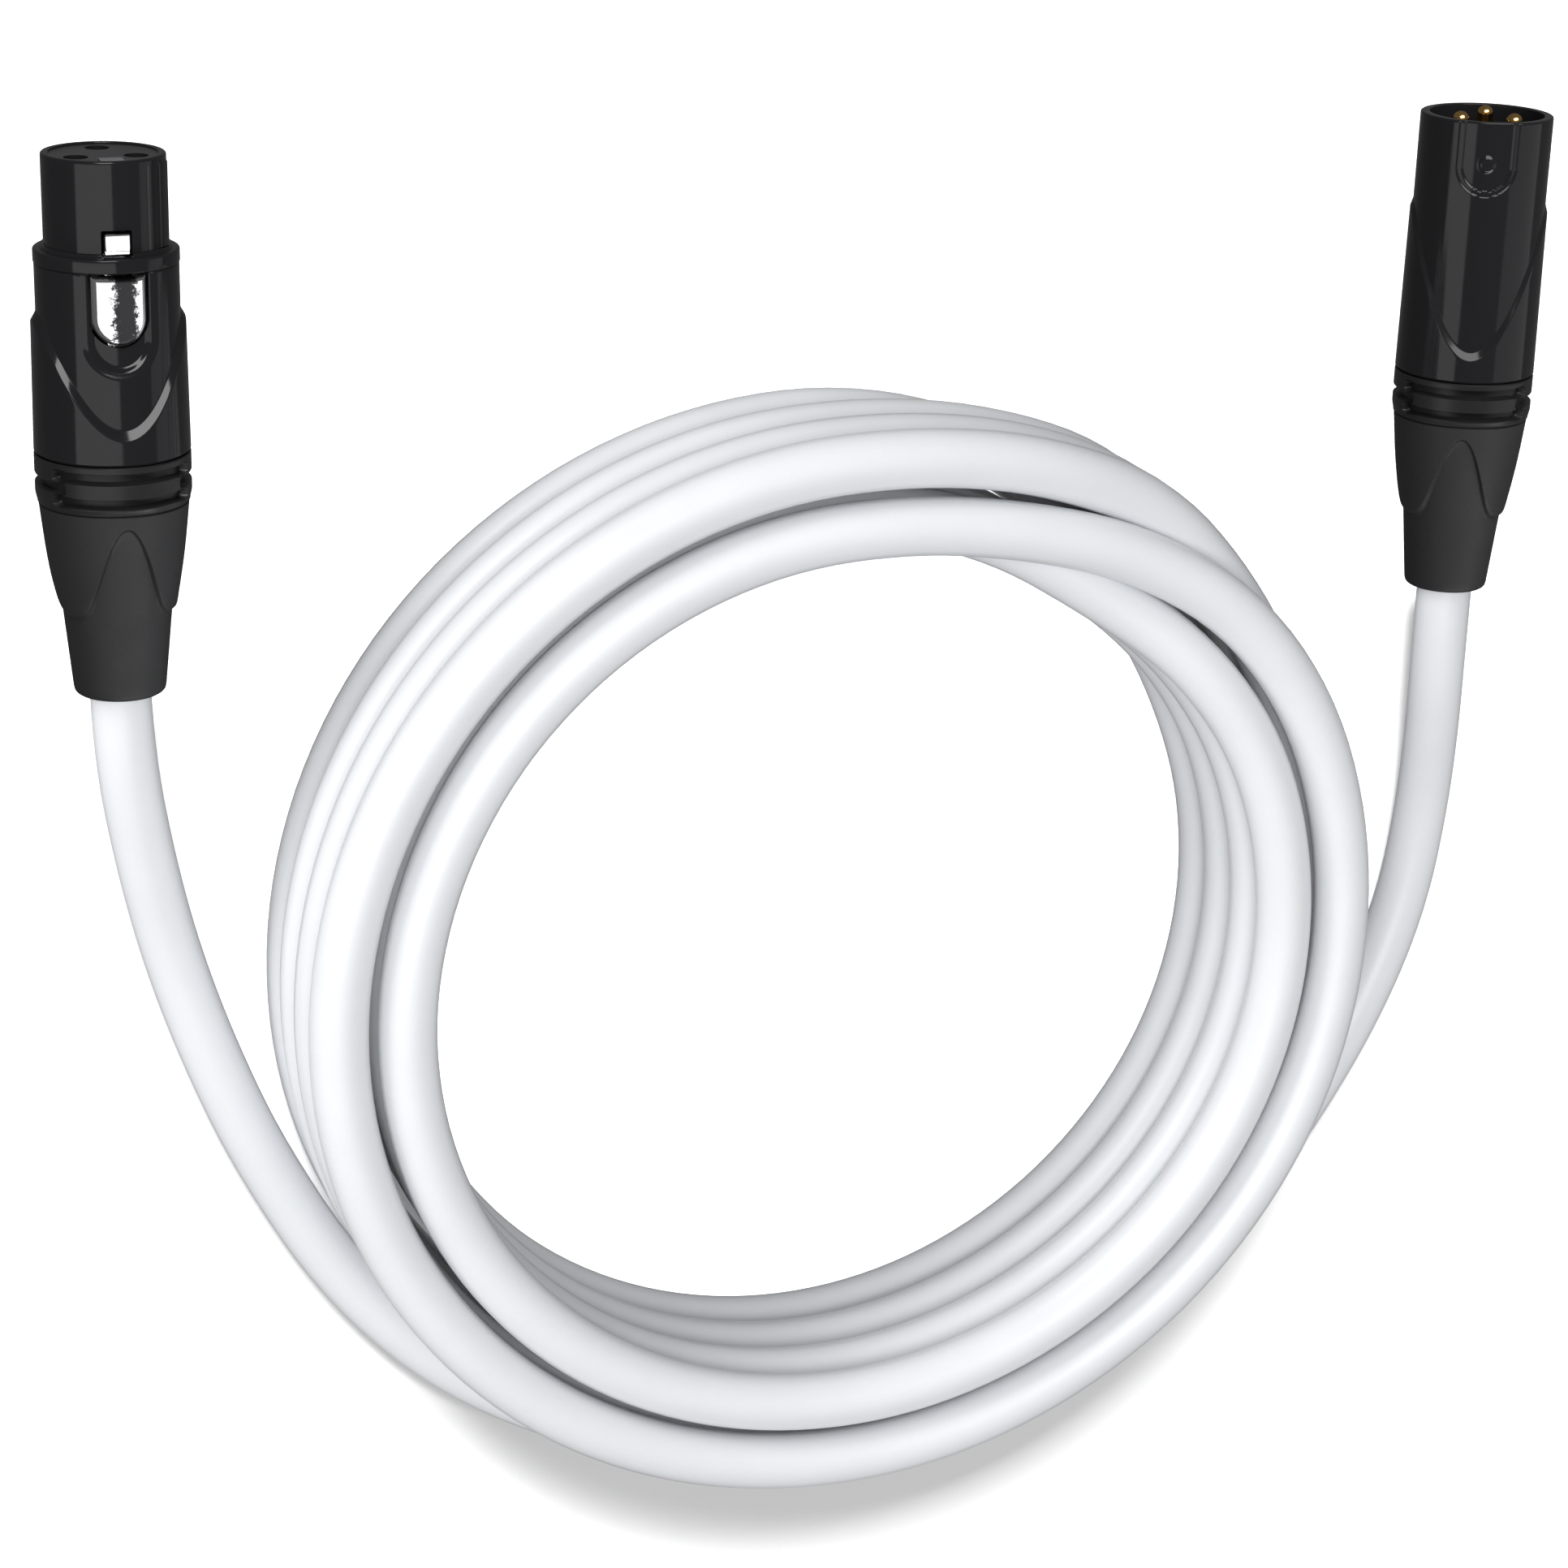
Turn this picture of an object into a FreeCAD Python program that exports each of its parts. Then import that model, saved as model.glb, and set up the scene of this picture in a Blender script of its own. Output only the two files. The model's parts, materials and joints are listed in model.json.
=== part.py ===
import FreeCAD, Part

# XLR microphone cable, wound into a flat coil that lies on the floor.
# Frame: +Z up, floor at Z = 0, origin under the middle of the whole object's box.
# Each connector is drawn in its own frame: +Z runs along its axis from the boot's cable
# exit to the mating face, and -Y is the side of the latch. CONNECTOR placements lay it down.

import math
import os
from FreeCAD import Placement, Rotation, Vector

DOC = FreeCAD.newDocument("xlr_cable_coil")
SHEET = DOC.addObject("Spreadsheet::Sheet", "Sizes")

SIZES = [
    # cable and coil
    ("cable_radius", 4.1),
    ("coil_outer_radius", 75.6),
    ("coil_inner_radius", 66.6),
    ("coil_pitch", 8.6),
    ("coil_levels", 4),
    ("coil_centre_y", -14.0),
    ("coil_edge_radius", 3.2),
    # connector places
    ("female_axis_x", -99.9),
    ("male_axis_x", 99.9),
    ("male_roll", 27),
    ("boot_exit_y", 31.6),
    ("axis_height", 10.15),
    # stations along a connector, from the cable exit
    ("boot_end", 26.2),
    ("petal_tip", 12.4),
    ("arch_apex", 24.4),
    ("gland_end", 32.8),
    ("arch_foot", 4.6),
    ("arch_shoulder", 2.5),
    ("arch_shoulder_rise", 6.5),
    ("boot_lip", 0.8),
    ("boot_lip_step", 0.7),
    ("scallop_low", 36.8),
    ("female_scallop_tip", 52.2),
    ("male_scallop_tip", 57.3),
    ("sleeve_over", 1.2),
    ("collar_low", 57.6),
    ("collar_top", 59.4),
    ("female_face", 71.5),
    ("male_rim", 70.6),
    # radii of a connector
    ("boot_exit_radius", 6.0),
    ("tail_radius", 7.0),
    ("tail_root_radius", 8.3),
    ("petal_tip_radius", 7.75),
    ("boot_root_radius", 9.7),
    ("gland_radius", 10.1),
    ("sleeve_low_radius", 10.1),
    ("sleeve_top_radius", 9.85),
    ("female_body_radius", 9.2),
    ("collar_radius", 9.3),
    ("nose_radius", 7.9),
    ("nose_bore", 6.9),
    ("body_bore", 8.0),
    ("male_shell_radius", 9.5),
    ("male_bore", 8.2),
    # gland ring
    ("groove_width", 1.15),
    ("groove_depth", 0.9),
    ("groove_reach", 8.4),
    ("slot_reach", 6.9),
    ("thread_radius", 7.9),
    ("thread_bore", 6.6),
    ("chuck_radius", 6.5),
    ("chuck_low", 12.0),
    ("chuck_top", 31.0),
    ("chuck_slit", 0.8),
    ("chuck_solid_length", 5.0),
    ("ground_spring_length", 2.4),
    ("ground_spring_thick", 0.35),
    ("ground_spring_split", 2.6),
    ("female_spring_low", 38.5),
    ("male_spring_low", 42.0),
    # contacts
    ("contact_x", 3.81),
    ("contact_high", 2.03),
    ("contact_low", 4.318),
    ("pin_radius", 1.18),
    ("socket_bore", 1.24),
    ("socket_radius", 1.65),
    ("cup_low", 45.0),
    ("socket_top", 70.3),
    ("insert_low", 50.0),
    ("female_insert_top", 71.2),
    ("male_insert_top", 57.0),
    ("pin_root_radius", 1.68),
    ("pin_top", 71.0),
    ("socket_depth", 16.0),
    ("cup_depth", 3.0),
    ("cup_play", 0.1),
    ("wire_radius", 0.75),
    ("wire_pitch", 1.9),
    ("jacket_end", 33.0),
    ("channel_floor", 3.4),
    ("channel_low", 55.2),
    ("spring_seat", 5.6),
    ("key_low", 66.5),
    ("key_width", 1.8),
    # latch
    ("latch_width", 3.2),
    ("tab_width", 7.0),
    ("tab_low", 48.3),
    ("tab_top", 57.2),
    ("tab_high", 9.0),
    ("tab_thick", 0.9),
    ("tab_stock", 1.2),
    ("tab_bite", 0.4),
    ("web_half", 1.0),
    ("web_lap", 1.2),
    ("riser_start", 0.35),
    ("riser_end", 1.5),
    ("drop_length", 1.4),
    ("cut_depth", 5.0),
    ("cut_reach", 12.0),
    ("recess_low", 44.4),
    ("recess_width", 8.6),
    ("recess_floor", 8.7),
    ("panel_floor", 9.1),
    ("panel_low", 59.9),
    ("panel_width", 8.8),
    ("mark_radius", 1.3),
    ("pocket_low", 60.4),
    ("pocket_top", 64.6),
    ("pocket_width", 4.2),
    ("pocket_floor", 8.8),
    ("mark_place", 64.5),
    ("mark_rise", 0.25),
    ("catch_low", 59.75),
    ("catch_top", 62.5),
    ("catch_high", 8.5),
    ("link_low", 5.2),
    ("link_thick", 1.0),
    ("pivot_station", 46.0),
    ("pivot_high", 6.5),
    ("pivot_radius", 0.6),
    ("pivot_play", 0.06),
    ("pivot_half", 5.45),
    ("leaf_width", 2.6),
    ("leaf_low", 50.6),
    ("leaf_top", 54.9),
    ("leaf_thick", 0.25),
    ("gap", 0.35),
]
for row, (alias, value) in enumerate(SIZES, start=1):
    SHEET.set("A%d" % row, alias)
    SHEET.set("B%d" % row, str(value))
    SHEET.setAlias("B%d" % row, alias)
DOC.recompute()

NODES = []


def size(alias):
    """A plain number from the sheet."""
    return float(getattr(SHEET, alias))


def bind(thing, **sizes):
    """Bind properties of a document object to formulas over the sheet's aliases."""
    for prop, formula in sizes.items():
        words = formula
        for alias, _value in sorted(SIZES, key=lambda pair: -len(pair[0])):
            words = words.replace("[%s]" % alias, "Sizes.%s" % alias)
        thing.setExpression(prop, words)
    return thing


def cylinder(name, radius, low, high, x="0", y="0"):
    """An upright cylinder between two stations."""
    thing = DOC.addObject("Part::Cylinder", name)
    bind(thing, Radius=radius, Height="(%s) - (%s)" % (high, low))
    place = {".Placement.Base.x": x, ".Placement.Base.y": y, ".Placement.Base.z": low}
    return bind(thing, **place)


def cone(name, low_radius, high_radius, low, high):
    """An upright cone frustum between two stations."""
    thing = DOC.addObject("Part::Cone", name)
    bind(thing, Radius1=low_radius, Radius2=high_radius, Height="(%s) - (%s)" % (high, low))
    return bind(thing, **{".Placement.Base.z": low})


def block(name, width, near, far, low, high, x="0"):
    """A box centred on x, from `near` to `far` on the latch side (-Y), between stations."""
    thing = DOC.addObject("Part::Box", name)
    bind(thing, Length=width, Width="(%s) - (%s)" % (far, near), Height="(%s) - (%s)" % (high, low))
    place = {
        ".Placement.Base.x": "(%s) - (%s) / 2" % (x, width),
        ".Placement.Base.y": "-(%s)" % far,
        ".Placement.Base.z": low,
    }
    return bind(thing, **place)


def crossbar(name, radius, half_length, high, station):
    """A cylinder across the connector, along X, at a height on the latch side."""
    thing = DOC.addObject("Part::Cylinder", name)
    bind(thing, Radius=radius, Height="2 * (%s)" % half_length)
    thing.Placement = Placement(Vector(), Rotation(Vector(0, 1, 0), 90))
    place = {
        ".Placement.Base.x": "-(%s)" % half_length,
        ".Placement.Base.y": "-(%s)" % high,
        ".Placement.Base.z": station,
    }
    return bind(thing, **place)


def plug_through(name, radius, near, far, station):
    """A cylinder that points out on the latch side (-Y)."""
    thing = DOC.addObject("Part::Cylinder", name)
    bind(thing, Radius=radius, Height="(%s) - (%s)" % (far, near))
    thing.Placement = Placement(Vector(), Rotation(Vector(1, 0, 0), 90))
    place = {".Placement.Base.y": "-(%s)" % near, ".Placement.Base.z": station}
    return bind(thing, **place)


def cut(name, base, tool):
    thing = DOC.addObject("Part::Cut", name)
    thing.Base = base
    thing.Tool = tool
    return thing


def fuse(name, *pieces):
    thing = DOC.addObject("Part::MultiFuse", name)
    thing.Shapes = list(pieces)
    return thing


def common(name, base, tool):
    thing = DOC.addObject("Part::Common", name)
    thing.Base = base
    thing.Tool = tool
    return thing


def solid(name, shape):
    """A document object for a shape that the primitives can't give."""
    thing = DOC.addObject("Part::Feature", name)
    thing.Shape = shape
    return thing


def node(thing, label, placement=None):
    """Name a finished sub-part and lay it in its place."""
    thing.Label = label
    if placement is not None:
        bound = [path for path, _formula in thing.ExpressionEngine if "Placement" in path]
        if bound:
            DOC.recompute()
        for path in bound:
            thing.setExpression(path, None)
        thing.Placement = placement.multiply(thing.Placement)
    NODES.append(thing)
    return thing


def connector_placement(axis_x, roll):
    """Lay a connector on the floor, mating face to +Y, latch side up, rolled to -X."""
    down = Rotation(Vector(1, 0, 0), -90)
    turn = Rotation(Vector(0, 0, 1), roll)
    base = Vector(axis_x, size("boot_exit_y"), size("axis_height"))
    return Placement(base, down.multiply(turn))


FEMALE = connector_placement(size("female_axis_x"), 0)
MALE = connector_placement(size("male_axis_x"), -size("male_roll"))


# ---------------------------------------------------------------- shared connector pieces

def scallop(name, tip):
    """The prism that cuts the sleeve to a hanging curve, front and back."""
    half = size("sleeve_low_radius") + 0.2
    low = size("scallop_low")
    peak = size(tip)
    over = peak + 4 * size("sleeve_over")
    curve = Part.BezierCurve()
    curve.setPoles([Vector(-half, 0, peak), Vector(0, 0, 2 * low - peak), Vector(half, 0, peak)])
    sides = [Vector(half, 0, peak), Vector(half, 0, over), Vector(-half, 0, over), Vector(-half, 0, peak)]
    edges = [curve.toShape()]
    for start, end in zip(sides, sides[1:]):
        edges.append(Part.LineSegment(start, end).toShape())
    face = Part.Face(Part.Wire(edges))
    depth = 4 * half
    prism = face.extrude(Vector(0, depth, 0))
    prism.translate(Vector(0, -depth / 2, 0))
    return solid(name, prism)


def scalloped_sleeve(kind, tip):
    """The thick rear sleeve of a shell, scalloped on the latch side and on the back."""
    over = "[%s] + [sleeve_over]" % tip
    sleeve = cone(kind + "_sleeve_blank", "[sleeve_low_radius]", "[sleeve_top_radius]", "[gland_end]", over)
    return cut(kind + "_sleeve", sleeve, scallop(kind + "_scallop", tip))


def arch_prism(name, angle):
    """One arched window between two petals of the boot, seen along the radius."""
    low = size("petal_tip") - 1
    apex = size("arch_apex")
    foot = size("arch_foot")
    shoulder = size("arch_shoulder")
    waist = low + size("arch_shoulder_rise")
    curve = Part.BSplineCurve()
    curve.interpolate([
        Vector(-foot, 0, low), Vector(-shoulder, 0, waist), Vector(0, 0, apex),
        Vector(shoulder, 0, waist), Vector(foot, 0, low)])
    base = Part.LineSegment(Vector(foot, 0, low), Vector(-foot, 0, low)).toShape()
    face = Part.Face(Part.Wire([curve.toShape(), base]))
    prism = face.extrude(Vector(0, -2 * size("gland_radius"), 0))
    prism.rotate(Vector(), Vector(0, 0, 1), angle)
    return solid(name, prism)


def boot(kind, placement):
    """The rubber boot: a tapered tail under three petals with arched windows between them."""
    tail = cone(kind + "_boot_tail", "[boot_exit_radius]", "[tail_radius]", "[boot_lip]", "[petal_tip]")
    lip_low = "[boot_exit_radius] - [boot_lip_step]"
    lip = cone(kind + "_boot_lip", lip_low, "[boot_exit_radius]", "0", "[boot_lip]")
    root = cone(kind + "_boot_root", "[tail_radius]", "[tail_root_radius]", "[petal_tip]", "[boot_end]")
    petals = cone(kind + "_petals", "[petal_tip_radius]", "[boot_root_radius]", "[petal_tip]", "[boot_end]")
    prisms = [arch_prism("%s_arch_%d" % (kind, turn), 120 * turn) for turn in range(3)]
    windows = fuse(kind + "_arches", *prisms)
    cut_petals = cut(kind + "_petals_cut", petals, windows)
    whole = fuse(kind + "_boot_solid", lip, tail, root, cut_petals)
    throat = cylinder(kind + "_throat", "[cable_radius]", "-1", "[chuck_low] - 2")
    hollow = cylinder(kind + "_boot_hollow", "[thread_bore]", "[chuck_low] - 2", "[boot_end] + 1")
    open_boot = cut(kind + "_boot_open", whole, fuse(kind + "_boot_bore", throat, hollow))
    return node(open_boot, kind + "_boot", placement)


def gland_ring(kind, placement):
    """The boot's grip ring: two long grooves front and back, and a slot at each side."""
    ring = cylinder(kind + "_gland_blank", "[gland_radius]", "[boot_end]", "[gland_end]")
    bore = cylinder(kind + "_gland_bore", "[thread_radius]", "[boot_end] - 1", "[gland_end] + 1")
    cutters = [bore]
    for quarter in (1, 2, 3):
        name = "%s_groove_%d" % (kind, quarter)
        middle = "([boot_end] + %d * ([gland_end] - [boot_end]) / 4)" % quarter
        low = middle + " - [groove_width] / 2"
        high = middle + " + [groove_width] / 2"
        outer = cylinder(name + "_out", "[gland_radius] + 1", low, high)
        inner = cylinder(name + "_in", "[gland_radius] - [groove_depth]", low, high)
        if quarter == 2:
            reach = block(name + "_reach", "3 * [gland_radius]", "-[slot_reach]", "[slot_reach]", low, high)
        else:
            reach = block(name + "_reach", "2 * [groove_reach]", "-2 * [gland_radius]",
                          "2 * [gland_radius]", low, high)
        cutters.append(common(name, cut(name + "_full", outer, inner), reach))
    cuts = fuse(kind + "_gland_cuts", *cutters)
    return node(cut(kind + "_gland", ring, cuts), kind + "_gland_ring", placement)


def thread_sleeve(kind, placement):
    """The threaded sleeve inside the grip ring, which screws the boot to the shell."""
    outside = cylinder(kind + "_thread_out", "[thread_radius]", "[boot_end]", "[gland_end] + 4")
    inside = cylinder(kind + "_thread_in", "[thread_bore]", "[boot_end] - 1", "[gland_end] + 5")
    return node(cut(kind + "_thread", outside, inside), kind + "_thread_sleeve", placement)


def chuck(kind, placement):
    """The clamp sleeve that grips the jacket: a split collar with four slits."""
    outside = cylinder(kind + "_chuck_out", "[chuck_radius]", "[chuck_low]", "[chuck_top]")
    inside = cylinder(kind + "_chuck_in", "[cable_radius]", "[chuck_low] - 1", "[chuck_top] + 1")
    wide = "2 * [chuck_radius]"
    low, high = "[chuck_low] - 1", "[chuck_top] - [chuck_solid_length]"
    slit_a = block(kind + "_slit_a", "[chuck_slit]", "-" + wide, wide, low, high)
    slit_b = block(kind + "_slit_b", "2 * " + wide, "-[chuck_slit] / 2", "[chuck_slit] / 2", low, high)
    cutters = fuse(kind + "_chuck_cuts", inside, slit_a, slit_b)
    return node(cut(kind + "_chuck_solid", outside, cutters), kind + "_chuck", placement)


def cable_end(kind, placement):
    """The last stretch of jacket, straight inside the boot and the chuck."""
    stub = cylinder(kind + "_cable_stub", "[cable_radius]", "0", "[jacket_end]")
    return node(stub, kind + "_cable_end", placement)


# Each contact's place, as multiples of contact_x, contact_high and contact_low.
CONTACTS = {1: (1, -1, 0), 2: (-1, -1, 0), 3: (0, 0, 1)}


def contact_formulas(number):
    """A contact's place across the connector, as formulas."""
    across, high, low = CONTACTS[number]
    return "%d * [contact_x]" % across, "%d * [contact_high] + %d * [contact_low]" % (high, low)


def contact_spot(number):
    """A contact's place across the connector, in millimetres."""
    across, high, low = CONTACTS[number]
    return Vector(across * size("contact_x"), high * size("contact_high") + low * size("contact_low"), 0)


def wires(kind, placement):
    """Three stripped conductors from the jacket's end to the solder cups."""
    for number, name in ((1, "shield_wire"), (2, "hot_wire"), (3, "cold_wire")):
        spot = contact_spot(number)
        start = Vector(spot) * (size("wire_pitch") / spot.Length)
        start.z = size("jacket_end") + 0.2 * size("wire_radius")
        end = Vector(spot)
        end.z = size("cup_low")
        rod = Part.makeCylinder(size("wire_radius"), (end - start).Length, start, end - start)
        node(solid("%s_%s" % (kind, name), rod), "%s_%s" % (kind, name), placement)


def ground_spring(kind, radius, low, placement):
    """A thin sprung ring that ties the shell to the ground contact."""
    high = low + " + [ground_spring_length]"
    outside = cylinder(kind + "_spring_out", radius, low, high)
    inside = cylinder(kind + "_spring_in", radius + " - [ground_spring_thick]", low + " - 1", high + " + 1")
    split = block(kind + "_spring_split", "[ground_spring_split]", "-2 * " + radius, "0",
                  low + " - 1", high + " + 1")
    ring = cut(kind + "_spring_ring", outside, fuse(kind + "_spring_cuts", inside, split))
    return node(ring, kind + "_ground_spring", placement)


# ---------------------------------------------------------------- female connector

def u_shape(name, width, near, far, low, high):
    """A slab with a round lower end, on the latch side."""
    centre = "(%s) + (%s) / 2" % (low, width)
    slab = block(name + "_slab", width, near, far, centre, high)
    end = plug_through(name + "_round", "(%s) / 2" % width, near, far, centre)
    return fuse(name, slab, end)


def skin_recess(name, outline, floor):
    """The part of an outline that lies outside a radius: a recess that follows the skin."""
    core = cylinder(name + "_core", floor, "[gland_end]", "[female_face] + 10")
    return cut(name, outline, core)


def female_shell():
    sleeve = scalloped_sleeve("female", "female_scallop_tip")
    body = cylinder("female_body", "[female_body_radius]", "[gland_end]", "[collar_low]")
    collar = cylinder("female_collar", "[collar_radius]", "[collar_low]", "[collar_top]")
    nose = cylinder("female_nose", "[nose_radius]", "[collar_top]", "[female_face]")
    outside = fuse("female_outside", body, sleeve, collar, nose)
    nose_hole = cylinder("female_nose_hole", "[nose_bore]", "[collar_low] - 3", "[female_face] + 1")
    body_hole = cylinder("female_body_hole", "[body_bore]", "[gland_end] - 1", "[collar_low] - 2")
    outline = u_shape("female_recess_outline", "[recess_width]", "[cut_depth]", "[cut_reach]",
                      "[recess_low]", "[collar_low]")
    recess = skin_recess("female_recess", outline, "[recess_floor]")
    tab_hole = u_shape("female_tab_hole", "[tab_width] + 2 * [gap]", "[cut_depth]", "[cut_reach]",
                       "[tab_low] - [gap]", "[tab_top] + [gap]")
    window = block("female_window", "[latch_width] + 2 * [gap]", "[cut_depth]", "[cut_reach]",
                   "[catch_low] - [gap]", "[catch_top] + [gap]")
    pivot_hole = crossbar("female_pivot_hole", "[pivot_radius]", "[pivot_half]",
                          "[pivot_high]", "[pivot_station]")
    cutters = fuse("female_shell_cuts", nose_hole, body_hole, recess, tab_hole, window, pivot_hole)
    return node(cut("female_shell_solid", outside, cutters), "female_shell", FEMALE)


def female_insert():
    """The moulded block that holds the sockets, with a channel under the latch."""
    blank = cylinder("insert_blank", "[nose_bore]", "[insert_low]", "[female_insert_top]")
    cutters = []
    for number in CONTACTS:
        x, y = contact_formulas(number)
        low = "[insert_low] - 1"
        seat = cylinder("socket_seat_%d" % number, "[socket_radius]", low, "[socket_top]", x, y)
        mouth = cylinder("socket_mouth_%d" % number, "[socket_bore]", low, "[female_face] + 1", x, y)
        cutters += [seat, mouth]
    channel_width = "[latch_width] + 2 * [gap]"
    cutters.append(block("latch_channel", channel_width, "[channel_floor]", "[gland_radius]",
                         "[channel_low]", "[catch_top] + 2 * [gap]"))
    cutters.append(block("spring_channel", channel_width, "[spring_seat]", "[gland_radius]",
                         "[insert_low] - 1", "[channel_low] + 0.1"))
    cutters.append(block("insert_key_slot", "[key_width]", "[spring_seat]", "[gland_radius]",
                         "[key_low]", "[female_face] + 1"))
    return node(cut("insert_solid", blank, fuse("insert_cuts", *cutters)), "female_insert", FEMALE)


def female_contacts():
    for number in CONTACTS:
        x, y = contact_formulas(number)
        name = "female_contact_%d" % number
        outside = cylinder(name + "_out", "[socket_radius]", "[cup_low]", "[socket_top]", x, y)
        socket = cylinder(name + "_in", "[socket_bore]", "[socket_top] - [socket_depth]",
                          "[socket_top] + 1", x, y)
        cup = cylinder(name + "_cup", "[wire_radius] + [cup_play]", "[cup_low] - 1",
                       "[cup_low] + [cup_depth]", x, y)
        node(cut(name + "_solid", outside, fuse(name + "_cuts", socket, cup)), name, FEMALE)


def latch_lever():
    """The sprung lever: push tab, link and square catch, on a cross pivot."""
    tab = u_shape("tab_outline", "[tab_width]", "[tab_high] - [tab_thick] - [tab_stock]", "[cut_reach]",
                  "[tab_low]", "[tab_top]")
    tab_skin = cylinder("tab_skin", "[tab_high]", "[gland_end]", "[female_face]")
    tab_under = cylinder("tab_under", "[tab_high] - [tab_thick]", "[gland_end] - 1", "[female_face] + 1")
    tab_shell = common("tab_plate", tab, cut("tab_curve", tab_skin, tab_under))
    web = block("latch_web", "[latch_width]", "[pivot_high] - [web_half]", "[pivot_high] + [web_half]",
                "[pivot_station] - [web_lap]", "[tab_low] + [web_half]")
    riser = block("latch_riser", "[latch_width]", "[pivot_high] - [web_half]", "[tab_high] - [tab_bite]",
                  "[tab_low] + [riser_start]", "[tab_low] + [riser_end]")
    drop = block("latch_drop", "[latch_width]", "[link_low]", "[tab_high] - [tab_bite]",
                 "[tab_top] - [drop_length]", "[tab_top]")
    link = block("latch_link", "[latch_width]", "[link_low]", "[link_low] + [link_thick]",
                 "[tab_top] - [drop_length]", "[catch_top]")
    catch = block("latch_catch", "[latch_width]", "[link_low]", "[catch_high]", "[catch_low]", "[catch_top]")
    hole = crossbar("latch_hole", "[pivot_radius] + [pivot_play]", "[pivot_half]",
                    "[pivot_high]", "[pivot_station]")
    metal = fuse("latch_metal", tab_shell, web, riser, drop, link, catch)
    return node(cut("latch_solid", metal, hole), "latch_lever", FEMALE)


def latch_pivot():
    pin = crossbar("pivot_pin", "[pivot_radius]", "[pivot_half]", "[pivot_high]", "[pivot_station]")
    return node(pin, "latch_pivot_pin", FEMALE)


def latch_spring():
    """An arched leaf between the insert's channel and the push tab."""
    width = size("leaf_width")
    seat = size("spring_seat")
    play = 0.1
    crown = size("tab_high") - size("tab_thick") - play
    foot_a = size("leaf_low")
    foot_b = size("leaf_top")
    thick = size("leaf_thick")
    middle = (foot_a + foot_b) / 2
    outer = Part.Arc(Vector(0, -seat, foot_a), Vector(0, -crown, middle), Vector(0, -seat, foot_b))
    inner = Part.Arc(Vector(0, -seat, foot_b - thick), Vector(0, -crown + thick, middle),
                     Vector(0, -seat, foot_a + thick))
    foot_1 = Part.LineSegment(Vector(0, -seat, foot_b), Vector(0, -seat, foot_b - thick))
    foot_2 = Part.LineSegment(Vector(0, -seat, foot_a + thick), Vector(0, -seat, foot_a))
    face = Part.Face(Part.Wire([outer.toShape(), foot_1.toShape(), inner.toShape(), foot_2.toShape()]))
    leaf = face.extrude(Vector(width, 0, 0))
    leaf.translate(Vector(-width / 2, 0, 0))
    return node(solid("spring_leaf", leaf), "latch_spring", FEMALE)


# ---------------------------------------------------------------- male connector

def male_shell():
    sleeve = scalloped_sleeve("male", "male_scallop_tip")
    body = cylinder("male_body", "[male_shell_radius]", "[gland_end]", "[male_rim]")
    bore = cylinder("male_bore_hole", "[male_bore]", "[insert_low]", "[male_rim] + 1")
    body_hole = cylinder("male_body_hole", "[body_bore]", "[gland_end] - 1", "[insert_low] + 1")
    outline = u_shape("male_panel_outline", "[panel_width]", "[cut_depth]", "[cut_reach]",
                      "[panel_low]", "[male_rim] + 1")
    panel = skin_recess("male_panel", outline, "[panel_floor]")
    pocket = block("latch_pocket", "[pocket_width]", "[male_bore] - 1", "[pocket_floor]",
                   "[pocket_low]", "[pocket_top]")
    cutters = fuse("male_shell_cuts", bore, body_hole, panel, pocket)
    mark = plug_through("panel_mark", "[mark_radius]", "[pocket_floor]", "[panel_floor] + [mark_rise]",
                        "[mark_place]")
    shell = cut("male_shell_solid", fuse("male_outside", body, sleeve), cutters)
    return node(fuse("male_shell_marked", shell, mark), "male_shell", MALE)


def male_insert():
    """The moulded disc that holds the pins."""
    blank = cylinder("male_insert_blank", "[male_bore]", "[insert_low]", "[male_insert_top]")
    holes = []
    for number in CONTACTS:
        x, y = contact_formulas(number)
        holes.append(cylinder("pin_hole_%d" % number, "[pin_root_radius]", "[insert_low] - 1",
                              "[male_insert_top] + 1", x, y))
    return node(cut("male_insert_solid", blank, fuse("male_insert_cuts", *holes)), "male_insert", MALE)


def male_pins():
    for number in CONTACTS:
        x, y = contact_formulas(number)
        name = "male_pin_%d" % number
        shank = cylinder(name + "_shank", "[pin_radius]", "[cup_low]", "[pin_top] - [pin_radius]", x, y)
        root = cylinder(name + "_root", "[pin_root_radius]", "[cup_low]", "[male_insert_top]", x, y)
        tip = DOC.addObject("Part::Sphere", name + "_tip")
        bind(tip, Radius="[pin_radius]", **{".Placement.Base.x": x, ".Placement.Base.y": y,
                                            ".Placement.Base.z": "[pin_top] - [pin_radius]"})
        cup = cylinder(name + "_cup", "[wire_radius] + [cup_play]", "[cup_low] - 1",
                       "[cup_low] + [cup_depth]", x, y)
        whole = fuse(name + "_metal", shank, root, tip)
        node(cut(name + "_solid", whole, cup), name, MALE)


# ---------------------------------------------------------------- cable

# Routes of the two free ends, from each connector's boot to the coil, in millimetres.
FEMALE_TAIL = [
    (-99.9, 31.6, 10.15), (-99.9, 19.5, 10.15), (-98.6, 6.0, 7.4), (-95.8, -8.5, 4.4),
    (-91.0, -24.0, 4.1), (-83.6, -41.5, 4.1), (-70.6, -63.0, 4.1), (-53.8, -80.0, 4.1),
    (-34.6, -91.7, 4.1), (-17.7, -97.1, 5.2), (-3.0, -98.9, 9.0), (13.3, -98.2, 12.8),
    (29.9, -93.9, 13.7), (45.8, -85.9, 13.7), (59.3, -75.4, 13.5), (70.7, -61.7, 10.4),
    (77.7, -47.0, 6.2), (81.0, -31.2, 4.1), (79.9, -14.0, 4.1), (75.3, 2.0, 4.1),
]
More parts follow.
